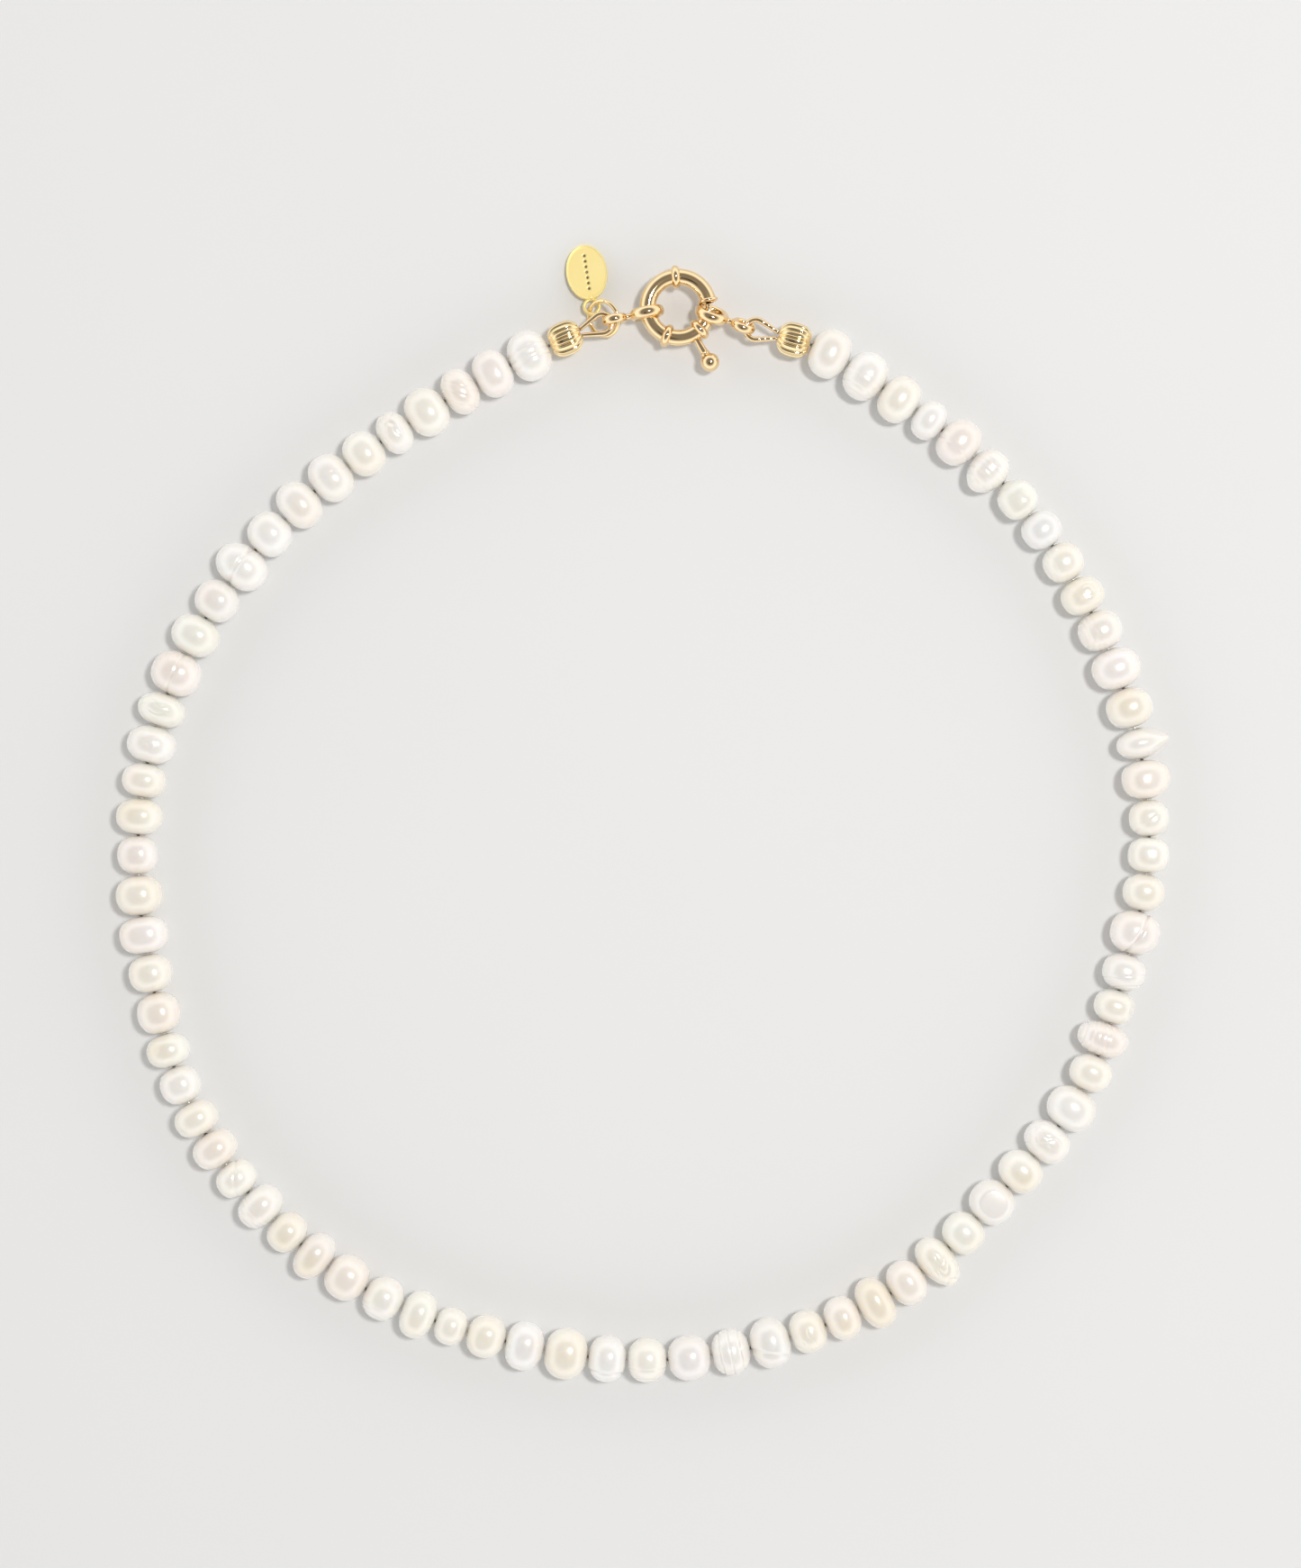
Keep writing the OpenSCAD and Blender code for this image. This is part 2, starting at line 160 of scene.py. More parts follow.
def wireRing(basis, radius, wire, steps=96, sides=28, flatten=1.0, seam=0.0):
    # A torus: ((R + r cos v) cos u, (R + r cos v) sin u, r sin v). A seam narrows the wire at u = 0.
    u = np.linspace(0, 2 * np.pi, steps, endpoint=False)[:, None]
    v = np.linspace(0, 2 * np.pi, sides, endpoint=False)[None, :]
    away = np.minimum(u, 2 * np.pi - u) * radius
    r = wire / 2 * (1 - seam * np.exp(-(away / (0.12 * wire)) ** 2)) + 0 * v
    out = radius + r * np.cos(v)
    points = np.stack([out * np.cos(u), out * np.sin(u), r * flatten * np.sin(v) + 0 * u], -1)
    return gridShell(placed(points, basis), closeU=True)


def turned(basis, profile, sides=48, through=False):
    # A profile of (distance along z, radius) carried round z: (r cos v, r sin v, h). It is closed at both
    # ends, or is itself a closed line clear of z, so that the shape has a hole through it.
    profile = np.asarray(profile, float)
    v = np.linspace(0, 2 * np.pi, sides, endpoint=False)[None, :]
    r, h = profile[:, 1][:, None], profile[:, 0][:, None]
    points = placed(np.stack([r * np.cos(v), r * np.sin(v), h + 0 * v], -1), basis)
    return gridShell(points, closeU=through, capStart=not through, capEnd=not through)


def sweptWire(centres, sideways, radii, sides=16):
    # A tube round the centres: c + r (cos v s + sin v (t x s)), with t along the path and s beside it.
    along = unit(np.gradient(centres, axis=0))
    beside = unit(sideways - np.sum(sideways * along, -1, keepdims=True) * along)
    above = np.cross(along, beside)
    v = np.linspace(0, 2 * np.pi, sides, endpoint=False)[None, :, None]
    ring = np.cos(v) * beside[:, None] + np.sin(v) * above[:, None]
    points = centres[:, None] + np.asarray(radii)[:, None, None] * ring
    return gridShell(points, capStart=True, capEnd=True)


def roundEnded(count, radius, stretch, length):
    # Radii along a wire of this length with a round end of the given stretch: r sqrt(1 - (1 - s / e)^2).
    s = np.linspace(0, length, count)
    edge = np.clip(np.minimum(s, length - s) / stretch, 0.002, 1)
    return radius * np.sqrt(1 - (1 - edge) ** 2)


def arcPoints(basis, radius, fromDegrees, toDegrees, count):
    # Points R (cos a, sin a) in the basis, and the direction out from its middle at each.
    a = np.radians(np.linspace(fromDegrees, toDegrees, count))
    out = np.stack([np.cos(a), np.sin(a), 0 * a], -1)
    return placed(radius * out, basis), placed(out, (np.zeros(3),) + basis[1:])


def nodeGroup(name, inputs, outputs):
    group = bpy.data.node_groups.new(name, "ShaderNodeTree")
    for label, kind, value in inputs:
        socket = group.interface.new_socket(label, in_out="INPUT", socket_type=kind)
        if value is not None:
            socket.default_value = value
    for label, kind in outputs:
        group.interface.new_socket(label, in_out="OUTPUT", socket_type=kind)
    return group, group.nodes.new("NodeGroupInput"), group.nodes.new("NodeGroupOutput")


def mathNode(tree, operation, a, b):
    node = tree.nodes.new("ShaderNodeMath")
    node.operation = operation
    for socket, value in zip(node.inputs, (a, b)):
        if hasattr(value, "is_linked"):
            tree.links.new(value, socket)
        else:
            socket.default_value = value
    return node.outputs[0]


def noiseNode(tree, vector, scale, detail, rough=0.5):
    node = tree.nodes.new("ShaderNodeTexNoise")
    tree.links.new(vector, node.inputs["Vector"])
    node.inputs["Detail"].default_value = detail
    node.inputs["Roughness"].default_value = rough
    if hasattr(scale, "is_linked"):
        tree.links.new(scale, node.inputs["Scale"])
    else:
        node.inputs["Scale"].default_value = scale
    return node.outputs["Fac"]


def makeHandled():
    # Handling marks: cloudy roughness between two values, and a height of soft dents with fine lines.
    group, given, result = nodeGroup(
        "handled", [("Vector", "NodeSocketVector", None), ("Smoothest", "NodeSocketFloat", 0.08),
                    ("Roughest", "NodeSocketFloat", 0.2), ("Size", "NodeSocketFloat", 900.0)],
        [("Roughness", "NodeSocketFloat"), ("Height", "NodeSocketFloat")])
    vector = given.outputs["Vector"]
    clouds = noiseNode(group, vector, given.outputs["Size"], 4)
    fine = noiseNode(group, vector, mathNode(group, "MULTIPLY", given.outputs["Size"], 9.0), 2)
    spread = mathNode(group, "SUBTRACT", given.outputs["Roughest"], given.outputs["Smoothest"])
    rough = mathNode(group, "ADD", given.outputs["Smoothest"], mathNode(group, "MULTIPLY", clouds, spread))
    height = mathNode(group, "ADD", clouds, mathNode(group, "MULTIPLY", fine, 0.02))
    group.links.new(rough, result.inputs["Roughness"])
    group.links.new(height, result.inputs["Height"])
    return group


handled = makeHandled()


def newMaterial(name, colour, metallic, roughness):
    material = bpy.data.materials.new(name)
    material.use_nodes = True
    tree = material.node_tree
    shader = tree.nodes["Principled BSDF"]
    shader.inputs["Base Color"].default_value = (*colour, 1)
    shader.inputs["Metallic"].default_value = metallic
    shader.inputs["Roughness"].default_value = roughness
    place = tree.nodes.new("ShaderNodeTexCoord").outputs["Object"]
    return material, tree, shader, place


def addBump(tree, shader, height, distance, strength=1.0):
    bump = tree.nodes.new("ShaderNodeBump")
    bump.inputs["Distance"].default_value = distance
    bump.inputs["Strength"].default_value = strength
    tree.links.new(height, bump.inputs["Height"])
    tree.links.new(bump.outputs["Normal"], shader.inputs["Normal"])
    return bump


def makeMetal(name, look):
    # A metal whose colour drifts between two alloys, with handling marks in its roughness and surface.
    metal = look.get("metal", 1.0)
    material, tree, shader, place = newMaterial(name, look["colour"], metal, look["smoothest"])
    marks = tree.nodes.new("ShaderNodeGroup")
    marks.node_tree = handled
    marks.inputs["Smoothest"].default_value = look["smoothest"]
    marks.inputs["Roughest"].default_value = look["roughest"]
    marks.inputs["Size"].default_value = look["markSize"]
    tree.links.new(place, marks.inputs["Vector"])
    tree.links.new(marks.outputs["Roughness"], shader.inputs["Roughness"])
    addBump(tree, shader, marks.outputs["Height"], look["dent"])
    mix = tree.nodes.new("ShaderNodeMix")
    mix.data_type = "RGBA"
    mix.inputs["A"].default_value = (*look["colour"], 1)
    mix.inputs["B"].default_value = (*look["otherColour"], 1)
    tree.links.new(noiseNode(tree, place, look["driftSize"], 3), mix.inputs["Factor"])
    tree.links.new(mix.outputs["Result"], shader.inputs["Base Color"])
    return material


goldLook = {"colour": (0.90, 0.65, 0.35), "otherColour": (0.95, 0.75, 0.47), "smoothest": 0.05,
            "roughest": 0.12, "markSize": 900.0, "dent": 0.000006, "driftSize": 500.0}
beadGoldLook = {"colour": (0.94, 0.72, 0.38), "otherColour": (0.97, 0.80, 0.50), "smoothest": 0.06,
                "roughest": 0.14, "markSize": 1400.0, "dent": 0.000010, "driftSize": 800.0}
tagGoldLook = {"colour": (0.99, 0.80, 0.30), "otherColour": (1.0, 0.86, 0.42), "smoothest": 0.36,
               "roughest": 0.5, "markSize": 5200.0, "dent": 0.000004, "driftSize": 300.0,
               "metal": 0.6}
crimpLook = {"colour": (0.78, 0.77, 0.74), "otherColour": (0.70, 0.69, 0.66), "smoothest": 0.12,
             "roughest": 0.3, "markSize": 2500.0, "dent": 0.000008, "driftSize": 900.0}
steelLook = {"colour": (0.72, 0.71, 0.68), "otherColour": (0.60, 0.59, 0.57), "smoothest": 0.25,
             "roughest": 0.4, "markSize": 3500.0, "dent": 0.000008, "driftSize": 1500.0}
polishedGold = makeMetal("polishedGold", goldLook)
beadGold = makeMetal("beadGold", beadGoldLook)
satinGold = makeMetal("satinGold", tagGoldLook)
crimpSilver = makeMetal("crimpSilver", crimpLook)
wireSteel = makeMetal("wireSteel", steelLook)


nacreLook = {"smoothest": 0.17, "roughest": 0.27, "lineSize": 700.0, "lineHeight": 0.000006,
             "cloudSize": 420.0, "cloudShare": 0.16, "metal": 0.11, "coat": 0.55, "coatRoughness": 0.06,
             "glow": 0.3}


def makeNacre(look):
    # Nacre: the tint attribute with cloudy drift, a painted sheen that pales the colour towards the outline, skin
    # glow, and a thin glossy coat.
    material, tree, shader, place = newMaterial("nacre", (0.86, 0.83, 0.76), 0.0, look["smoothest"])
    tint = tree.nodes.new("ShaderNodeAttribute")
    tint.attribute_name = "tint"
    clouds = noiseNode(tree, place, look["cloudSize"], 3)
    drift = tree.nodes.new("ShaderNodeMix")
    drift.data_type = "RGBA"
    drift.blend_type = "MULTIPLY"
    drift.inputs["B"].default_value = (0.93, 0.87, 0.80, 1)
    tree.links.new(mathNode(tree, "MULTIPLY", clouds, look["cloudShare"] * 2), drift.inputs["Factor"])
    tree.links.new(tint.outputs["Color"], drift.inputs["A"])
    # Painted sheen: the base colour is mixed towards pale cream where the surface turns away from the camera,
    # standing in for light reflected at the pearl's rim.
    facing = tree.nodes.new("ShaderNodeLayerWeight")
    facing.inputs["Blend"].default_value = 0.35
    rim = tree.nodes.new("ShaderNodeMix")
    rim.data_type = "RGBA"
    rim.inputs["B"].default_value = (0.96, 0.93, 0.88, 1)
    tree.links.new(mathNode(tree, "MULTIPLY", facing.outputs["Facing"], 0.6), rim.inputs["Factor"])
    tree.links.new(drift.outputs["Result"], rim.inputs["A"])
    tree.links.new(rim.outputs["Result"], shader.inputs["Base Color"])
    marks = tree.nodes.new("ShaderNodeGroup")
    marks.node_tree = handled
    marks.inputs["Smoothest"].default_value = look["smoothest"]
    marks.inputs["Roughest"].default_value = look["roughest"]
    marks.inputs["Size"].default_value = look["lineSize"]
    tree.links.new(place, marks.inputs["Vector"])
    tree.links.new(marks.outputs["Roughness"], shader.inputs["Roughness"])
    addBump(tree, shader, marks.outputs["Height"], look["lineHeight"])
    shader.inputs["Coat Weight"].default_value = look["coat"]
    shader.inputs["Coat Roughness"].default_value = look["coatRoughness"]
    shader.inputs["Metallic"].default_value = look["metal"]
    shader.inputs["Subsurface Weight"].default_value = look["glow"]
    shader.inputs["Subsurface Radius"].default_value = (1.0, 0.75, 0.5)
    shader.inputs["Subsurface Scale"].default_value = 0.0009
    shader.inputs["IOR"].default_value = 1.6
    return material


nacre = makeNacre(nacreLook)
print("materials made")


tints = {
    "white": (0.91, 0.89, 0.86), "cool": (0.90, 0.89, 0.88), "cream": (0.91, 0.88, 0.81),
    "yellow": (0.91, 0.87, 0.78), "rose": (0.91, 0.86, 0.83), "peach": (0.91, 0.85, 0.79),
    "golden": (0.90, 0.83, 0.71), "green": (0.89, 0.88, 0.81), "grey": (0.88, 0.87, 0.85),
    "mauve": (0.88, 0.84, 0.82), "ochre": (0.88, 0.82, 0.70), "bluish": (0.88, 0.89, 0.90)}

# Directions on a pearl are (azimuth, height) in degrees: 0 is along the wire, 90 is outwards, and
# height 90 is up.
# rings: (axis azimuth, from, to, count, depth); grooves: (axis azimuth, where, width, depth);
# pits and humps: (azimuth, height, size, depth); patches: (azimuth, height, size, tint).
pearlLooks = [
    {"tint": "white"},
    {"tint": "white", "rings": [(90, -0.8, -0.1, 4, 0.018)]},
    {"tint": "cream"},
    {"tint": "cool"},
    {"tint": "rose", "grooves": [(90, -0.35, 0.05, 0.035)]},
    {"tint": "white", "offset": -0.3, "rings": [(90, -0.7, 0.8, 7, 0.02)], "humps": [(270, 10, 0.5, 0.1)]},
    {"tint": "green", "lumps": 0.075, "pits": [(80, 60, 0.3, 0.05)], "humps": [(300, 30, 0.45, 0.09)]},
    {"tint": "bluish"},
    {"tint": "cream", "rings": [(90, -0.9, -0.3, 4, 0.012)]},
    {"tint": "yellow", "wrinkles": (100, 60, 0.7, 0.03)},
    {"tint": "white", "rings": [(90, -0.85, -0.2, 4, 0.018)]},
    {"tint": "rose", "pits": [(70, 50, 0.18, 0.05), (110, 50, 0.18, 0.05)]},
    {"tint": "cream", "patches": [(200, 50, 0.7, "golden")]},
    {"tint": "white", "offset": 0.5, "fullness": 0.94, "lumps": 0.02, "square": 2.0,
     "humps": [(85, 5, 0.7, 0.05)],
     "flats": [(28, 20, 0.84), (152, 20, 0.84)]},
    {"tint": "peach", "offset": 0.1, "lumps": 0.05, "pits": [(90, 70, 0.5, 0.05)]},
    {"tint": "cream", "grooves": [(40, 0.1, 0.12, 0.03)]},
    {"tint": "cream", "square": 2.5, "lumps": 0.025},
    {"tint": "cream"},
    {"tint": "rose", "grooves": [(75, 0.1, 0.07, 0.09)], "patches": [(80, 60, 0.6, "mauve")]},
    {"tint": "grey", "rings": [(20, 0.2, 0.7, 2, 0.025)]},
    {"tint": "cream", "flats": [(95, 20, 0.82)]},
    {"tint": "rose", "offset": -0.2, "rings": [(90, -0.75, 0.05, 4, 0.03)]},
    {"tint": "cream"},
    {"tint": "white"},
    {"tint": "white", "lumps": 0.03, "wrinkles": (240, 50, 0.9, 0.03), "grooves": [(60, -0.2, 0.08, 0.03)]},
    {"tint": "cream", "patches": [(45, 60, 0.6, "ochre")]},
    {"tint": "cool", "flats": [(0, 90, 0.84)]},
    {"tint": "green"},
    {"tint": "yellow", "offset": 0.4, "lumps": 0.04, "humps": [(85, 15, 0.5, 0.08)],
     "wrinkles": (95, 50, 0.8, 0.05)},
    {"tint": "peach"},
    {"tint": "golden", "offset": 0.1},
    {"tint": "peach", "patches": [(90, 70, 0.6, "golden")]},
    {"tint": "yellow", "wrinkles": (60, 70, 0.6, 0.02)},
    {"tint": "grey", "grooves": [(70, 0.35, 0.08, 0.06)]},
    {"tint": "white", "rings": [(0, -0.5, 0.5, 3, 0.05)]},
    {"tint": "mauve"},
    {"tint": "cream", "rings": [(90, 0.3, 0.75, 2, 0.02)]},
    {"tint": "cool", "grooves": [(90, 0.5, 0.06, 0.05)]},
    {"tint": "yellow"},
    {"tint": "cool", "patches": [(200, 60, 0.6, "mauve")]},
    {"tint": "yellow", "pits": [(60, 70, 0.22, 0.05)], "lumps": 0.02},
    {"tint": "cream"},
    {"tint": "green", "patches": [(90, 60, 0.7, "yellow")]},
    {"tint": "white", "rings": [(90, 0.4, 0.8, 3, 0.012)], "patches": [(0, 60, 0.5, "green")]},
    {"tint": "peach"},
    {"tint": "mauve", "offset": 0.1, "patches": [(90, 60, 0.8, "ochre")], "lumps": 0.02},
    {"tint": "cream", "patches": [(120, 60, 0.6, "ochre")]},
    {"tint": "white", "rings": [(90, 0.2, 0.8, 4, 0.016)]},
    {"tint": "cream", "grooves": [(60, 0.0, 0.1, 0.05)]},
    {"tint": "peach", "patches": [(90, 60, 0.6, "rose")]},
    {"tint": "cream", "pits": [(110, 35, 0.22, 0.08)]},
    {"tint": "white"},
    {"tint": "green", "pits": [(60, 60, 0.25, 0.05)], "patches": [(60, 60, 0.6, "ochre")]},
    {"tint": "peach"},
    {"tint": "cream"},
    {"tint": "rose", "square": 2.4},
    {"tint": "ochre", "patches": [(90, 80, 0.9, "cream")]},
    {"tint": "rose"},
    {"tint": "yellow"},
    {"tint": "cream", "patches": [(90, 60, 0.6, "peach")]},
    {"tint": "white", "wrinkles": (90, 70, 1.0, 0.015)},
    {"tint": "green", "wrinkles": (90, 60, 0.9, 0.035), "lumps": 0.02},
    {"tint": "rose", "grooves": [(90, 0.0, 0.05, 0.05)]},
    {"tint": "green"},
    {"tint": "grey", "patches": [(90, 60, 0.6, "rose")]},
    {"tint": "white", "grooves": [(90, 0.05, 0.08, 0.08)], "lumps": 0.02},
    {"tint": "white"},
    {"tint": "white", "patches": [(270, 60, 0.6, "peach")]},
    {"tint": "white", "grooves": [(80, 0.1, 0.05, 0.015)]},
    {"tint": "cream"},
    {"tint": "white", "wrinkles": (90, 60, 1.0, 0.03), "pits": [(70, 70, 0.16, 0.06)]},
    {"tint": "cream"},
    {"tint": "peach", "rings": [(55, -0.6, 0.6, 4, 0.02)], "lumps": 0.02},
    {"tint": "rose", "square": 2.4},
    {"tint": "white", "rings": [(90, -0.25, 0.25, 3, 0.035)]}]

pearlCut = {"round": 72, "along": 56, "fineRound": 112, "fineAlong": 96, "bore": 0.45, "spare": 0.07 * mm,
            "rimEase": 1.12, "calmReach": 0.35, "calmPower": 0.7, "mostRelief": 0.06, "flatGive": 0.85,
            "slim": 0.995, "lift": 0.05 * mm}


def direction(azimuth, height):
    a, h = math.radians(azimuth), math.radians(height)
    return np.array([math.cos(a) * math.cos(h), math.sin(a) * math.cos(h), math.sin(h)])


def softNoise(p, scale, seed, waves=9):
    # A smooth random field: the mean of sines of p . f + phase, with random directions f.
    dice = np.random.default_rng(seed)
    f = unit(dice.normal(size=(waves, 3))) * scale * dice.uniform(0.7, 1.4, (waves, 1))
    return np.sin(p @ f.T + dice.uniform(0, 2 * np.pi, waves)).mean(-1) * math.sqrt(waves / 2)


def spot(d, azimuth, height, size):
    # A soft spot on the unit ball: exp(-(chord / size)^2).
    return np.exp(-(np.linalg.norm(d - direction(azimuth, height), axis=-1) / size) ** 2)


def pearlRelief(d, look, seed):
    # How far the skin stands in or out at unit direction d, as a share of the radius.
    relief = look.get("lumps", 0.012) * softNoise(d, 2.6, seed)
    wave = 0.05 * softNoise(d, 3.0, seed + 500)
    for azimuth, start, stop, count, depth in look.get("rings", ()):
        t = d @ direction(azimuth, 0) + wave * 0.6
        for where in np.linspace(start, stop, count):
            relief = relief - depth * np.exp(-((t - where) / 0.035) ** 2)
    for azimuth, where, width, depth in look.get("grooves", ()):
        t = d @ direction(azimuth, 0) + wave
        relief = relief - depth * np.exp(-((t - where) / width) ** 2)
    for azimuth, height, size, depth in look.get("pits", ()):
        relief = relief - depth * spot(d, azimuth, height, size)
    for azimuth, height, size, depth in look.get("humps", ()):
        relief = relief + depth * (spot(d, azimuth, height, size) - 0.5)
    if "wrinkles" in look:
        azimuth, height, size, depth = look["wrinkles"]
        creases = 1 - np.abs(softNoise(d, 9.0, seed + 900, 14))
        relief = relief - depth * spot(d, azimuth, height, size) * np.clip(creases, 0, 1) ** 3
    return relief


def pearlShell(basis, half, outwardHalf, inwardHalf, heightHalf, look, seed):
    # A pearl threaded on x. Its skin is (cos a, sin a cos b, sin a sin b), stretched to the three sizes,
    # moved by the relief, and carried on through the bore, so that the whole is one closed surface.
    fine = any(key in look for key in ("rings", "grooves", "wrinkles"))
    count = pearlCut["fineAlong"] if fine else pearlCut["along"]
    sides = pearlCut["fineRound"] if fine else pearlCut["round"]
    bore = pearlCut["bore"] * mm
    width = (outwardHalf + inwardHalf) / 2
    rim = math.asin(min(bore * pearlCut["rimEase"] / width, 0.9))
    a = np.linspace(rim, np.pi - rim, count)[:, None]
    b = np.linspace(0, 2 * np.pi, sides, endpoint=False)[None, :]
    d = np.stack([np.cos(a) + 0 * b, np.sin(a) * np.cos(b), np.sin(a) * np.sin(b)], -1)
    power = look.get("square", 2.25)
    r = (np.abs(d) ** power).sum(-1) ** (-1 / power)
    calm = np.clip((np.sin(a) - math.sin(rim)) / pearlCut["calmReach"], 0, 1) ** pearlCut["calmPower"]
    r = r * (1 + calm * np.minimum(pearlRelief(d, look, seed), pearlCut["mostRelief"]))
    side = np.where(d[..., 1] > 0, outwardHalf, inwardHalf)
    skin = d * r[..., None] * np.stack([half + 0 * side, side, heightHalf + 0 * side], -1)
    for azimuth, height, share in look.get("flats", ()):
        n = direction(azimuth, height)
        past = skin @ n - share * np.max(skin @ n)
        skin = skin - pearlCut["flatGive"] * np.maximum(past, 0)[..., None] * n
    ends = np.abs(skin[[0, -1], :, 0]).mean(1)
    x = np.linspace(-ends[1] + 0.05 * mm, ends[0] - 0.05 * mm, 5)[:, None] + 0 * b
    tunnel = np.stack([x, bore * np.cos(b) + 0 * x, bore * np.sin(b) + 0 * x], -1)
    points = np.concatenate([skin, tunnel])
    colour = np.array(tints[look["tint"]]) * np.ones(d.shape)
    colour = colour * (1 + 0.035 * softNoise(d, 2.0, seed + 77)[..., None] * np.array([0.4, 1.0, 1.8]))
    for azimuth, height, size, tint in look.get("patches", ()):
        share = spot(d, azimuth, height, size)[..., None]
        colour = colour * (1 - share) + np.array(tints[tint]) * share
    tunnelColour = 0.8 * colour.mean((0, 1)) * np.ones(tunnel.shape)
    colour = np.concatenate([colour, tunnelColour])
    return gridShell(placed(points, basis), closeU=True), np.clip(colour.reshape(-1, 3), 0, 1)


def nodePoints(node):
    mesh = frame["nodes"][node].data
    points = np.zeros(len(mesh.vertices) * 3)
    mesh.vertices.foreach_get("co", points)
    return points.reshape(-1, 3)


def looseParts(node):
    # A node's points in separate solids. Points at one place share a label, and each face then spreads
    # its smallest label over its corners until nothing changes.
    points = nodePoints(node)
    mesh = frame["nodes"][node].data
    corners = np.zeros(len(mesh.loops), np.int32)
    mesh.loops.foreach_get("vertex_index", corners)
    spots, same = np.unique(np.round(points / (0.001 * mm)).astype(np.int64), axis=0, return_inverse=True)
    faces = same.reshape(-1)[corners].reshape(-1, 3)
    label = np.arange(len(spots))
    while True:
        before = label.copy()
        np.minimum.at(label, faces.ravel(), np.repeat(label[faces].min(1), 3))
        label = label[label]
        if (label == before).all():
            break
    perPoint = label[same.reshape(-1)]
    return [points[perPoint == k] for k in np.unique(perPoint)]


def boxMiddle(points):
    return (points.min(0) + points.max(0)) / 2


loopMiddle = np.array([(cadBox[0][0] + cadBox[1][0]) / 2, (cadBox[0][1] + cadBox[1][1]) / 2])


def clockwise(place):
    return math.atan2(place[0] - loopMiddle[0], place[1] - loopMiddle[1]) % (2 * math.pi)


beadMiddle = {side: boxMiddle(nodePoints("ribbed_bead_" + side)) for side in ("left", "right")}


def findPearls():
    # Every pearl's node and points, in order clockwise from the clasp.
    found = []
    for node in sorted(n for n in frame["nodes"] if n.startswith("pearl")):
        found += [(node, part, boxMiddle(part)) for part in looseParts(node)]
    return sorted(found, key=lambda item: clockwise(item[2]))


def pearlReaches(found):
    # how much further each pearl reaches back and ahead along the wire: half of its gap, less a spare
    reaches = np.zeros((len(found), 2))
    for i, (one, other) in enumerate(zip(found[:-1], found[1:])):
        line = unit(other[2] - one[2])
        gap = (other[1] @ line).min() - (one[1] @ line).max()
        reaches[i, 1] = reaches[i + 1, 0] = max(gap - pearlCut["spare"], 0) / 2
    return reaches


def makePearls():
    found = findPearls()
    reaches = pearlReaches(found)
    wireHeight = jointPlace["strand_flex"][2]
    middles = [item[2] for item in found]
    middles = [beadMiddle["right"]] + middles + [beadMiddle["left"]]
    centres = []
    for i, (node, points, _) in enumerate(found):
        look = pearlLooks[i]
        ahead = middles[i + 2] - middles[i]
        along = unit(np.array([ahead[0], ahead[1], 0.0]))
        outward = np.array([-along[1], along[0], 0.0])
        x, y = points @ along, points @ outward
        x = np.array([x.min() - reaches[i, 0], x.max() + reaches[i, 1]])
        offset = look.get("offset", 0) * mm
        centre = (x.max() + x.min()) / 2 * along + ((y.max() + y.min()) / 2 - offset) * outward
        centre[2] = wireHeight
        half = (x.max() - x.min()) / 2 * look.get("fullness", 1)
        across = (y.max() - y.min()) / 2
        height = min(across, wireHeight - pearlCut["lift"])
        basis = (centre, along, outward, np.array([0.0, 0, 1]))
        outwardHalf, inwardHalf = (pearlCut["slim"] * (across + way * offset) for way in (1, -1))
        shell, colour = pearlShell(basis, half, outwardHalf, inwardHalf, height, look, 40 + i)
        makePiece(f"pearl_{i + 1:02d}", [shell], nacre, node, {"tint": colour})
        centres.append(centre)
    return centres


pearlCentres = makePearls()
print("pearls made:", len(pearlCentres))


# The beading wire is a length in each link, from hinge to hinge.
wireLook = {"radius": 0.21 * mm, "step": 0.25 * mm}


def strandedWire(points, sideways):
    # The wire along points, in even steps of its length.
    legs = np.linalg.norm(np.diff(points, axis=0), axis=1)
    travel = np.concatenate([[0], np.cumsum(legs)])
    count = max(8, int(travel[-1] / wireLook["step"]))
    s = np.linspace(0, travel[-1], count)
    centres = np.stack([np.interp(s, travel, points[:, k]) for k in range(3)], -1)
    return sweptWire(centres, np.tile(sideways, (count, 1)), np.full(count, wireLook["radius"]), 12)


def makeWire():
    hinges = [p for n, p in jointPlace.items() if n.startswith("strand_")]
    hinges = sorted(hinges, key=clockwise)
    up = np.array([0.0, 0, 1])
    stops = [jointPlace["guardian_right_flex"], *hinges, jointPlace["guardian_left_flex"]]
    groups = [pearlCentres[k:k + 2] for k in range(0, len(pearlCentres), 2)]
    names = list(dict.fromkeys(item[0] for item in findPearls()))
    for node, start, stop, inner in zip(names, stops[:-1], stops[1:], groups):
        label = node.split("_", 1)[1]
        points = np.array([start, *inner, stop])
        points[:, 2] = jointPlace["strand_flex"][2]
        piece = makePiece("wire_" + label, [strandedWire(points, up)], wireSteel, node, stands=False)
        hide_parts("beading_wire")


makeWire()
print("wire made")


beadLook = {"ribs": 14, "length": 4.2 * mm, "radius": 2.32 * mm, "ball": 2.43 * mm, "bore": 0.7 * mm,
            "ribDepth": 0.26 * mm, "endEase": 0.5 * mm}
crimpSize = {"length": 1.8 * mm, "outer": 0.65 * mm, "inner": 0.5 * mm}


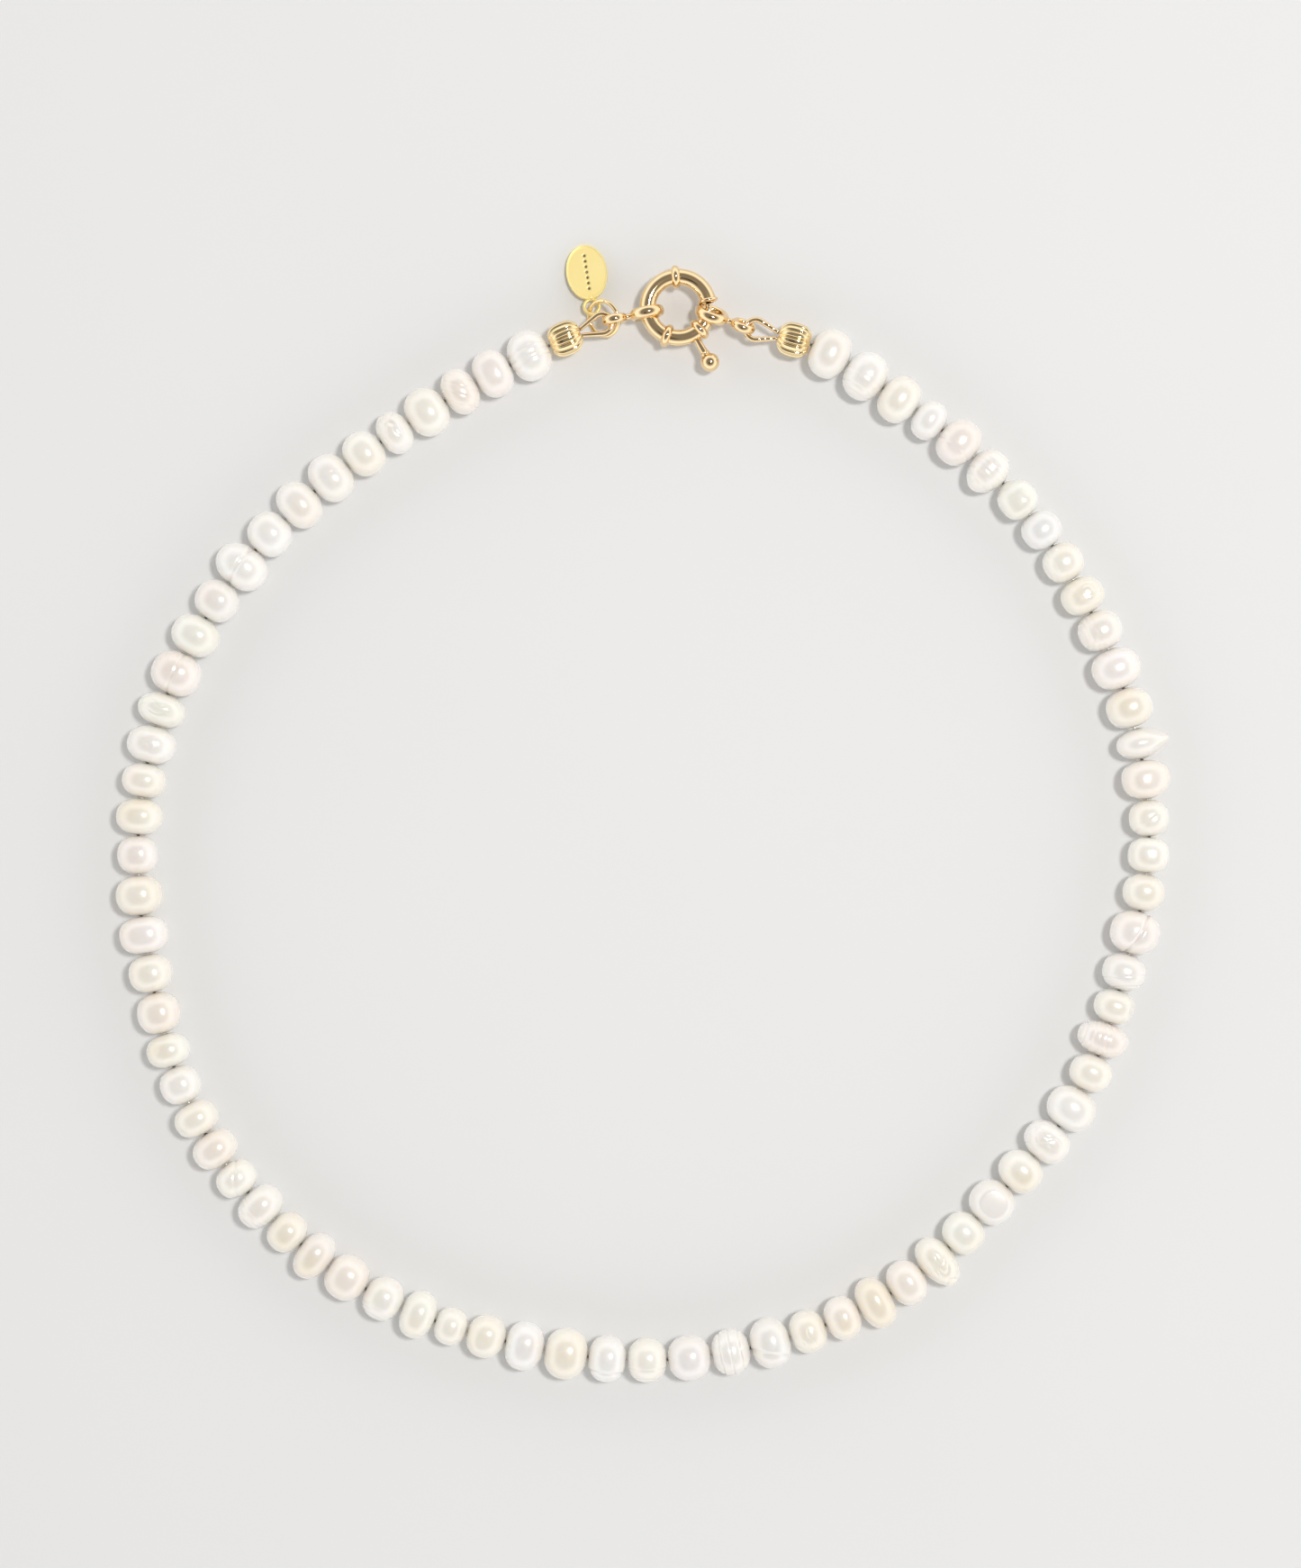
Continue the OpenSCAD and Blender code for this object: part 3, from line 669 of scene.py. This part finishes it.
def ribbedBead(basis, look):
    # A melon bead: r is a ball's sqrt(B^2 - h^2), held under R, less narrow grooves depth |cos(n v / 2)|^7
    # that fade at the flat ends. The skin turns in at the ends and runs on through the bore.
    h = look["length"] / 2 * np.sin(np.linspace(-np.pi / 2, np.pi / 2, 48))
    ball = np.sqrt(look["ball"] ** 2 - h ** 2)
    outer = (ball ** -14 + look["radius"] ** -14) ** (-1 / 14)
    v = np.linspace(0, 2 * np.pi, look["ribs"] * 18, endpoint=False)[None, :]
    valley = np.abs(np.cos(look["ribs"] * v / 2)) ** 7
    share = np.clip((look["length"] / 2 - np.abs(h)) / look["endEase"] + 0.25, 0, 1)[:, None]
    r = outer[:, None] - look["ribDepth"] * valley * share
    skin = np.stack([r * np.cos(v), r * np.sin(v), h[:, None] + 0 * v], -1)
    lipHeight = look["length"] / 2 - 0.12 * mm
    inside = [(look["length"] / 2, look["bore"] + 0.3 * mm), (look["length"] / 2 - 0.05 * mm, look["bore"]),
              (lipHeight, look["bore"] * 0.98), (0, look["bore"] * 0.98), (-lipHeight, look["bore"] * 0.98),
              (-look["length"] / 2 + 0.05 * mm, look["bore"]), (-look["length"] / 2, look["bore"] + 0.3 * mm)]
    bore = np.stack([np.stack([q * np.cos(v[0]), q * np.sin(v[0]), k + 0 * v[0]], -1) for k, q in inside])
    return gridShell(placed(np.concatenate([skin, bore]), basis), closeU=True)


def makeBeads():
    for side in ("left", "right"):
        axis = jointAxis[f"ribbed_bead_{side}_spin"]
        basis = basisFrom(beadMiddle[side], axis, (0, 0, 1))
        makePiece("ribbed_bead_" + side + "_shell", [ribbedBead(basis, beadLook)], beadGold,
                  "ribbed_bead_" + side)
        half, outer, inner = crimpSize["length"] / 2, crimpSize["outer"], crimpSize["inner"]
        profile = [(-half, inner), (-half, outer - 0.04 * mm), (-half + 0.04 * mm, outer), (0, outer * 0.97),
                   (half - 0.04 * mm, outer), (half, outer - 0.04 * mm), (half, inner), (0, inner)]
        makePiece(f"crimp_{side}_tube", [turned(basis, profile, through=True)], crimpSilver, "crimp_" + side)


makeBeads()
print("beads and crimps made")


guardianLook = {"bend": 1.3 * mm, "halfAngle": 108.0, "leg": 2.7 * mm, "outer": 0.38 * mm,
                "beadDistance": 6.5 * mm, "wireGap": 0.235 * mm, "stepDepth": 0.03 * mm}


def guardianPath(look, pointsOnBend=40, pointsOnLeg=26):
    # In line with the bead: a leg, a bend of radius B from -A to A, and the other leg.
    a = np.radians(np.linspace(-look["halfAngle"], look["halfAngle"], pointsOnBend))
    bend = look["bend"] * np.stack([1 - np.cos(a), np.sin(a), 0 * a], -1)
    heading = np.array([np.sin(a[-1]), np.cos(a[-1]), 0])
    s = np.linspace(0, look["leg"], pointsOnLeg)[1:, None]
    legAfter = bend[-1] + s * heading
    legBefore = (legAfter * [1, -1, 1])[::-1]
    return np.concatenate([legBefore, bend, legAfter])


def makeGuardian(side):
    axis = jointAxis[f"ribbed_bead_{side}_spin"]
    origin = beadMiddle[side] - guardianLook["beadDistance"] * axis
    basis = (origin, axis, np.cross((0, 0, 1), axis), np.array([0.0, 0, 1]))
    path = guardianPath(guardianLook)
    count = len(path)
    radii = np.full(count, guardianLook["outer"])
    place = np.abs(np.arange(count) - (count - 1) / 2) / ((count - 1) / 2)
    for where in (0.52, 0.68, 0.84):  # the swaged steps of the legs
        radii = radii - guardianLook["stepDepth"] * (1 / (1 + np.exp(-(place - where) * 160)))
    radii[[0, -1]] *= 0.82
    points = placed(path, basis)
    shell = sweptWire(points, np.tile([0.0, 0, 1], (count, 1)), radii, 28)
    makePiece(f"guardian_{side}_tube", [shell], polishedGold, "guardian_" + side)
    tail = guardianLook["beadDistance"] - 0.8 * mm
    gap = guardianLook["wireGap"]
    route = np.array([path[-1], [tail, gap, 0], [guardianLook["beadDistance"] + 1.2 * mm, gap, 0]])
    shells = []
    for turn in (1, -1):
        shells.append(strandedWire(placed(route * [1, turn, 1], basis), np.array([0.0, 0, 1])))
    wireEnd = makePiece(f"wire_loop_{side}", shells, wireSteel, "guardian_" + side, stands=False)
    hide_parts("beading_wire")


for side in ("left", "right"):
    makeGuardian(side)
print("guardians made")


connectorLook = {"bigRing": 1.82 * mm, "bigWire": 1.0 * mm, "smallRing": 1.28 * mm, "smallWire": 0.84 * mm,
                 "spacing": 4.35 * mm, "solder": 0.36 * mm, "breadth": 1.45}


def makeConnector(side, bigPlace, smallPlace, lean):
    # Two rings in one plane joined by a waisted solder bridge; lean turns them about their common line.
    look = connectorLook
    along = unit(smallPlace - bigPlace)
    flat = np.cross(along, (0, 0, 1))
    c, s = math.cos(math.radians(lean)), math.sin(math.radians(lean))
    normal = c * flat + s * np.array([0, 0, 1.0])
    big = basisFrom(bigPlace, normal, along)
    small = basisFrom(smallPlace, normal, along)
    start = look["bigRing"] + look["bigWire"] * 0.2
    length = look["spacing"] - start - look["smallRing"] - look["smallWire"] * 0.2
    h = np.linspace(0, length, 15)
    waist = look["solder"] * (1 + 0.35 * (2 * h / length - 1) ** 2)
    waist[[0, -1]] *= 0.3
    bridge = turned(basisFrom(bigPlace + start * along, along, normal), np.stack([h, waist], -1), 32)
    shells = [wireRing(big, look["bigRing"], look["bigWire"], 112, 32, look["breadth"]),
              wireRing(small, look["smallRing"], look["smallWire"], 96, 28, look["breadth"]), bridge]
    makePiece(f"connector_{side}_rings", shells, polishedGold, "connector_" + side)


def connectorEnds(side):
    # The middles of the two rings, from where the node's points reach along its length.
    points = nodePoints("connector_" + side)
    flat = points - points.mean(0)
    line = np.linalg.svd(flat, full_matrices=False)[2][0] * [1, 1, 0]
    line = unit(line) * (1 if (side == "right") == (line[0] > 0) else -1)
    across = np.cross((0, 0, 1), line)
    reach = points @ line
    look = connectorLook
    low = reach.min() + look["bigRing"] + look["bigWire"] / 2
    side0 = (points @ across).max() / 2 + (points @ across).min() / 2
    height = points[:, 2].max() / 2 + points[:, 2].min() / 2
    base = side0 * across + np.array([0, 0, height])
    return base + low * line, base + (low + look["spacing"]) * line


for side, lean in (("left", 0), ("right", -22)):
    makeConnector(side, *connectorEnds(side), lean)
print("connectors made")


claspLook = {"radius": 4.0 * mm, "tube": 1.075 * mm, "bore": 0.75 * mm, "mouthStart": -27.0, "mouthEnd": 9.0,
             "slotStart": 256.0, "slotEnd": 306.0, "slotHalf": 0.5 * mm, "round": 48, "collarWire": 0.55 * mm,
             "collarRadius": 1.0 * mm, "ferruleWire": 0.25 * mm, "ferruleRadius": 1.08 * mm,
             "bedding": 0.03 * mm}
claspMiddle = jointPlace["bolt_slide_round"]
claspBasis = (claspMiddle, np.array([1.0, 0, 0]), np.array([0, 1.0, 0]), np.array([0, 0, 1.0]))


def slotted(look, count):
    # Angles round the tube, outside and in the bore, that share a column at each edge of the slot.
    # The slot's edges are at asin(half / r) from straight out.
    outer = math.asin(look["slotHalf"] / look["tube"])
    inner = math.asin(look["slotHalf"] / look["bore"])
    inSlot = count // 6
    t = np.linspace(-1, 1, inSlot + 1)
    rest = np.linspace(0, 1, count - inSlot + 1)[1:-1]
    return tuple(np.concatenate([edge * t, edge + (2 * np.pi - 2 * edge) * rest]) for edge in (outer, inner))


def claspTube(look):
    # A hollow arc tube: points C + (R + r cos v) out + r sin v up, from the ferrule round to the mouth,
    # outside, then back through the bore. The slot's faces are left out and its walls join the two skins.
    sides = look["round"]
    outerAngles, innerAngles = slotted(look, sides)
    span = 360 + look["mouthStart"] - look["mouthEnd"]
    slotSteps = 20
    before = np.linspace(look["mouthEnd"], look["slotStart"], 100)
    within = np.linspace(look["slotStart"], look["slotEnd"], slotSteps + 1)[1:]
    after = np.linspace(look["slotEnd"], look["mouthEnd"] + span, 14)[1:]
    a = np.radians(np.concatenate([before, within, after]))
    rounding = 0.06 * mm
    edge = np.minimum(np.arange(len(a)), np.arange(len(a))[::-1])
    outerR = look["tube"] - np.where(edge == 0, rounding, 0)

    def skin(radii, angles):
        v = angles[None, :]
        out = look["radius"] + radii[:, None] * np.cos(v)
        up = radii[:, None] * np.sin(v)
        return np.stack([out * np.cos(a)[:, None], out * np.sin(a)[:, None], up], -1)

    outside = skin(outerR, outerAngles)
    inside = skin(np.full(len(a), look["bore"]), innerAngles)[::-1]
    points = placed(np.concatenate([outside, inside]), claspBasis)
    places, quads, triangles = gridShell(points, closeU=True)
    rows = len(a)
    first, last = len(before) - 1, len(before) - 1 + slotSteps
    rowsOf, columnsOf = quads // sides, quads % sides
    slotColumns = sides // 6
    inColumns = (columnsOf <= slotColumns).all(1)
    mirrored = 2 * rows - 1 - rowsOf
    inOuter = ((rowsOf >= first) & (rowsOf <= last)).all(1)
    inInner = ((mirrored >= first) & (mirrored <= last)).all(1)
    kept = quads[~(inColumns & (inOuter | inInner))]
    outerRow = np.arange(first, last + 1)
    columns = np.arange(slotColumns + 1)
    loop = np.concatenate([np.stack([outerRow, 0 * outerRow], -1),
                           np.stack([0 * columns[1:] + last, columns[1:]], -1),
                           np.stack([outerRow[::-1][1:], 0 * outerRow[1:] + slotColumns], -1),
                           np.stack([0 * columns[1:-1] + first, columns[::-1][1:-1]], -1)])
    outerLoop = loop[:, 0] * sides + loop[:, 1]
    innerLoop = (2 * rows - 1 - loop[:, 0]) * sides + loop[:, 1]
    walls = np.stack([outerLoop, innerLoop, np.roll(innerLoop, -1), np.roll(outerLoop, -1)], -1)
    return places, np.vstack([kept, matched(walls, kept)]), triangles


def matched(walls, kept):
    # The walls, turned round if they run an edge the same way as the face that they meet.
    after = np.roll(kept, -1, 1)
    sample = walls[0], np.roll(walls[0], -1)
    same = ((kept[..., None] == sample[0]) & (after[..., None] == sample[1])).any()
    return walls[:, ::-1] if same else walls


def claspCollar(angle, radius, wire):
    a = math.radians(angle)
    out = np.array([math.cos(a), math.sin(a), 0])
    place = claspMiddle + claspLook["radius"] * out
    basis = basisFrom(place, np.cross((0, 0, 1), out), out)
    # the wire is flat where it lies on the tube: no point is nearer the tube's line than the tube's skin
    u = np.linspace(0, 2 * np.pi, 64, endpoint=False)[:, None]
    v = np.linspace(0, 2 * np.pi, 28, endpoint=False)[None, :]
    reach = np.maximum(radius + wire * np.cos(v), claspLook["tube"] - claspLook["bedding"])
    points = np.stack([reach * np.cos(u), reach * np.sin(u), wire * np.sin(v) + 0 * u], -1)
    return gridShell(placed(points, basis), closeU=True)


def makeClasp():
    makePiece("clasp_ring_tube", [claspTube(claspLook)], polishedGold, "clasp_ring")
    for name, angle in (("top", 95), ("left", 248), ("right", 314)):
        shell = claspCollar(angle, claspLook["collarRadius"], claspLook["collarWire"])
        makePiece(f"clasp_collar_{name}_wrap", [shell], polishedGold, "clasp_collar_" + name)
    shell = claspCollar(13, claspLook["ferruleRadius"], claspLook["ferruleWire"])
    makePiece("clasp_ferrule_wrap", [shell], polishedGold, "clasp_end_ferrule")


boltLook = {"radius": 0.42 * mm, "tail": -76.0, "tip": 11.0, "plug": 0.65 * mm, "plugEnd": -68.0}
springLook = {"turns": 16, "start": -78.0, "sweep": -104.0, "coil": 0.56 * mm, "wire": 0.08 * mm, "steps": 18}
triggerLook = {"angle": -60.0, "post": 0.42 * mm, "ball": 1.25 * mm, "ballPlace": 8.3 * mm}


def makeBolt():
    look = boltLook
    count = 120
    centres, outward = arcPoints(claspBasis, claspLook["radius"], look["tail"], look["tip"], count)
    length = math.radians(look["tip"] - look["tail"]) * claspLook["radius"]
    radii = roundEnded(count, look["radius"], look["radius"], length)
    rod = sweptWire(centres, outward, radii, 24)
    centres, outward = arcPoints(claspBasis, claspLook["radius"], look["tail"], look["plugEnd"], 30)
    length = math.radians(look["plugEnd"] - look["tail"]) * claspLook["radius"]
    plug = sweptWire(centres, outward, roundEnded(30, look["plug"], 0.12 * mm, length), 24)
    makePiece("clasp_bolt_rod", [rod, plug], polishedGold, "clasp_bolt")


def makeSpring():
    # A helix round the clasp's own circle: (R + c cos w) out of the middle, c sin w up.
    look = springLook
    count = look["turns"] * look["steps"] + 1
    a = np.radians(look["start"] + look["sweep"] * np.linspace(0, 1, count))
    w = 2 * np.pi * np.linspace(0, look["turns"], count)
    reach = claspLook["radius"] + look["coil"] * np.cos(w)
    helix = np.stack([reach * np.cos(a), reach * np.sin(a), look["coil"] * np.sin(w)], -1)
    centres = placed(helix, claspBasis)
    core = placed(claspLook["radius"] * np.stack([np.cos(a), np.sin(a), 0 * a], -1), claspBasis)
    shell = sweptWire(centres, centres - core, np.full(count, look["wire"]), 8)
    fixedEnd, boltEnd = core[-1].tolist(), core[0].tolist()
    makePiece("clasp_spring_coil", [shell], wireSteel, "clasp_spring",
              bends=(bodyOfNode["clasp_ring"], bodyOfNode["clasp_bolt"], fixedEnd, boltEnd))


def makeTrigger():
    # A turned trigger: a waisted post, a small collar, and a ball closed by a tiny flat on top.
    look = triggerLook
    a = math.radians(look["angle"])
    out = np.array([math.cos(a), math.sin(a), 0])
    h = np.linspace(claspLook["radius"] + boltLook["radius"] * 0.9, look["ballPlace"], 40)
    post = look["post"] * (1 + 0.4 * ((h - h[0]) / (h[-1] - h[0])))
    collarPlace = look["ballPlace"] - look["ball"] * 1.02
    post = post + 0.16 * mm * np.exp(-((h - collarPlace) / (0.14 * mm)) ** 2)
    t = np.linspace(math.pi - 0.25, 0.02, 44)
    ball = np.stack([look["ballPlace"] + look["ball"] * np.cos(t), look["ball"] * np.sin(t)], -1)
    stalk = np.stack([h, post], -1)
    stalk = np.vstack([[stalk[0, 0], 0.05 * mm], stalk])
    basis = basisFrom(claspMiddle, out, (0, 0, 1))
    shells = [turned(basis, stalk, 36), turned(basis, ball, 48)]
    makePiece("clasp_trigger_stud", shells, polishedGold, "clasp_trigger")


makeClasp()
makeBolt()
makeSpring()
makeTrigger()
print("clasp made")


jumpLook = {"radius": 2.32 * mm, "wire": 0.56 * mm}
tagLook = {"halfWidth": 2.7 * mm, "halfLength": 3.7 * mm, "thickness": 0.62 * mm, "ovalPlace": 4.65 * mm,
           "turn": 8.5, "droop": -6.2, "eyelet": 0.98 * mm, "eyeletWire": 0.44 * mm, "rim": 0.08 * mm,
           "dots": 7, "dotSpacing": 0.74 * mm, "dotSize": 0.2 * mm, "dotDepth": 0.1 * mm,
           "markColour": (0.10, 0.07, 0.04)}


def makeJumpRing():
    axis = jointAxis["tag_ring_turn"]
    basis = basisFrom(jointPlace["tag_ring_turn"], axis, (0.4, 1, 0))
    makePiece("tag_jump_ring_wire", [wireRing(basis, jumpLook["radius"], jumpLook["wire"], 128, 24, 1, 0.28)],
              beadGold, "tag_jump_ring")


def tagOval(basis, look):
    # The oval plate: rows run from the middle of the top out to the edge, round it, and back below.
    # The top has a raised rim and a row of round punch marks along its length.
    v = np.linspace(0, 2 * np.pi, 160, endpoint=False)[None, :]
    share = np.concatenate([np.linspace(0.02, 0.9, 60), np.linspace(0.91, 0.985, 12)])
    half = look["thickness"] / 2
    edge = np.linspace(0, np.pi, 14)
    edgeShare = 0.985 + 0.015 * np.sin(edge)
    top = np.full(len(share), half)
    rim = look["rim"] * (1 / (1 + np.exp(-(share - 0.93) * 180)) - 1)
    rows = np.concatenate([share, edgeShare, share[::-1]])
    heights = np.concatenate([top + rim, half * np.cos(edge), -top])
    x = look["halfWidth"] * rows[:, None] * np.cos(v)
    y = look["halfLength"] * rows[:, None] * np.sin(v)
    z = heights[:, None] + 0 * x
    mark = np.zeros(x.shape)
    for k in range(look["dots"]):
        spotY = (k - (look["dots"] - 1) / 2) * look["dotSpacing"]
        mark = mark + np.exp(-((x ** 2 + (y - spotY) ** 2) / look["dotSize"] ** 2) ** 2)
    mark = mark * (np.arange(len(rows)) < len(share))[:, None]
    z = z - look["dotDepth"] * mark
    points = np.stack([x, y + look["ovalPlace"], z], -1)
    shell = gridShell(placed(points, basis), capStart=True, capEnd=True)
    return shell, np.concatenate([mark.ravel(), [0, 0]])


def fillMarks(material, attribute, colour):
    # Dark filling wherever the attribute is high.
    tree = material.node_tree
    shader = tree.nodes["Principled BSDF"]
    mask = tree.nodes.new("ShaderNodeAttribute")
    mask.attribute_name = attribute
    mix = tree.nodes.new("ShaderNodeMix")
    mix.data_type = "RGBA"
    mix.inputs["B"].default_value = (*colour, 1)
    tree.links.new(mask.outputs["Fac"], mix.inputs["Factor"])
    tree.links.new(shader.inputs["Base Color"].links[0].from_socket, mix.inputs["A"])
    tree.links.new(mix.outputs["Result"], shader.inputs["Base Color"])


def makeTag():
    look = tagLook
    place = jointPlace["tag_swing"]
    t, d = math.radians(look["turn"]), math.radians(look["droop"])
    x = np.array([math.cos(t), math.sin(t), 0])
    flat = np.array([-math.sin(t), math.cos(t), 0])
    y = math.cos(d) * flat + math.sin(d) * np.array([0, 0, 1.0])
    basis = (place, x, y, np.cross(x, y))
    oval, mark = tagOval(basis, look)
    eyelet = wireRing(basis, look["eyelet"], look["eyeletWire"], 72, 20)
    neckPlace = place + 1.12 * mm * y
    neck = turned((neckPlace - 0.2 * mm * y, x, -basis[3], y),
                  [(0, 0.05 * mm), (0.02 * mm, 0.3 * mm), (0.3 * mm, 0.42 * mm), (0.5 * mm, 0.3 * mm)], 24)
    shells = [oval, eyelet, neck]
    mark = np.concatenate([mark, np.zeros(len(eyelet[0]) + len(neck[0]))])
    fillMarks(satinGold, "mark", look["markColour"])
    makePiece("tag_plate", shells, satinGold, "tag", {"mark": np.repeat(mark[:, None], 3, 1)})


makeJumpRing()
makeTag()
print("tag made")


stageLook = {"floor": (0.80, 0.805, 0.81), "floorSize": 3.0, "world": 1.25, "sunWatts": 3.4, "sunSize": 0.13,
             "sunDistance": 0.9, "sunHeight": 73.0, "sunSide": 24.0, "cardHeight": 0.52,
             "cardSize": 0.2, "cardPlace": (-0.09, -0.11)}


def makeFloor():
    size = stageLook["floorSize"] / 2
    mesh = bpy.data.meshes.new("floor")
    corners = [(-size, -size, 0), (size, -size, 0), (size, size, 0), (-size, size, 0)]
    mesh.from_pydata(corners, [], [(0, 1, 2, 3)])
    floor = bpy.data.objects.new("floor", mesh)
    bpy.context.scene.collection.objects.link(floor)
    material, tree, shader, place = newMaterial("paleFloor", stageLook["floor"], 0.0, 0.8)
    mix = tree.nodes.new("ShaderNodeMix")
    mix.data_type = "RGBA"
    mix.inputs["A"].default_value = (*stageLook["floor"], 1)
    mix.inputs["B"].default_value = (*(0.985 * c for c in stageLook["floor"]), 1)
    tree.links.new(noiseNode(tree, place, 30.0, 5), mix.inputs["Factor"])
    tree.links.new(mix.outputs["Result"], shader.inputs["Base Color"])
    mesh.materials.append(material)


def makeWorld():
    # Pale all round the horizon, and darker straight up, where a room's ceiling is.
    world = bpy.data.worlds.new("studio")
    bpy.context.scene.world = world
    world.use_nodes = True
    tree = world.node_tree
    background = tree.nodes["Background"]
    place = tree.nodes.new("ShaderNodeTexCoord").outputs["Generated"]
    split = tree.nodes.new("ShaderNodeSeparateXYZ")
    tree.links.new(place, split.inputs["Vector"])
    ramp = tree.nodes.new("ShaderNodeValToRGB")
    ramp.color_ramp.elements[0].position = 0.48
    ramp.color_ramp.elements[0].color = (1, 0.995, 0.985, 1)
    ramp.color_ramp.elements[1].position = 0.78
    ramp.color_ramp.elements[1].color = (0.20, 0.19, 0.18, 1)
    tree.links.new(split.outputs["Z"], ramp.inputs["Fac"])
    tree.links.new(ramp.outputs["Color"], background.inputs["Color"])
    background.inputs["Strength"].default_value = stageLook["world"]


def aimAt(thing, target):
    thing.rotation_euler = (Vector(target) - thing.location).to_track_quat("-Z", "Y").to_euler()


def addLamp(name, azimuth, height, distance, size, watts, colour, target):
    lamp = bpy.data.lights.new(name, "AREA")
    lamp.shape = "DISK"
    lamp.size = size
    lamp.energy = watts
    lamp.color = colour
    thing = bpy.data.objects.new(name, lamp)
    bpy.context.scene.collection.objects.link(thing)
    a, h = math.radians(azimuth), math.radians(height)
    thing.location = Vector(target) + distance * Vector(
        (math.cos(a) * math.cos(h), math.sin(a) * math.cos(h), math.sin(h)))
    aimAt(thing, target)


def makeCard():
    # A dark card high up to one side, as a stand and its arm show in gloss.
    size = stageLook["cardSize"] / 2
    a = np.linspace(0, 2 * np.pi, 32, endpoint=False)
    aside, ahead = stageLook["cardPlace"]
    rim = np.stack([aside + size * np.cos(a), ahead + size * np.sin(a), stageLook["cardHeight"] + 0 * a], -1)
    mesh = bpy.data.meshes.new("card")
    mesh.from_pydata(rim.tolist(), [], [list(range(32))])
    card = bpy.data.objects.new("card", mesh)
    bpy.context.scene.collection.objects.link(card)
    mesh.materials.append(newMaterial("darkCard", (0.10, 0.08, 0.06), 0.0, 0.9)[0])


cameraLook = {"height": 0.46, "frameHeight": 0.2054, "aside": 0.00096, "ahead": 0.00368}


def makeCamera():
    middle = (Vector(cadBox[0]) + Vector(cadBox[1])) / 2
    camera = bpy.data.cameras.new("camera")
    camera.sensor_width = 36
    camera.lens = 36 * cameraLook["height"] / cameraLook["frameHeight"]
    thing = bpy.data.objects.new("camera", camera)
    bpy.context.scene.collection.objects.link(thing)
    thing.location = (middle.x + cameraLook["aside"], middle.y + cameraLook["ahead"],
                      cameraLook["height"] + jointPlace["strand_flex"][2])
    bpy.context.scene.camera = thing
    return middle


bpy.context.scene.view_settings.view_transform = "Standard"
makeFloor()
makeWorld()
middle = makeCamera()
makeCard()
addLamp("softbox", stageLook["sunSide"], stageLook["sunHeight"], stageLook["sunDistance"],
        stageLook["sunSize"], stageLook["sunWatts"], (1, 0.985, 0.96), middle)
print("stage made")
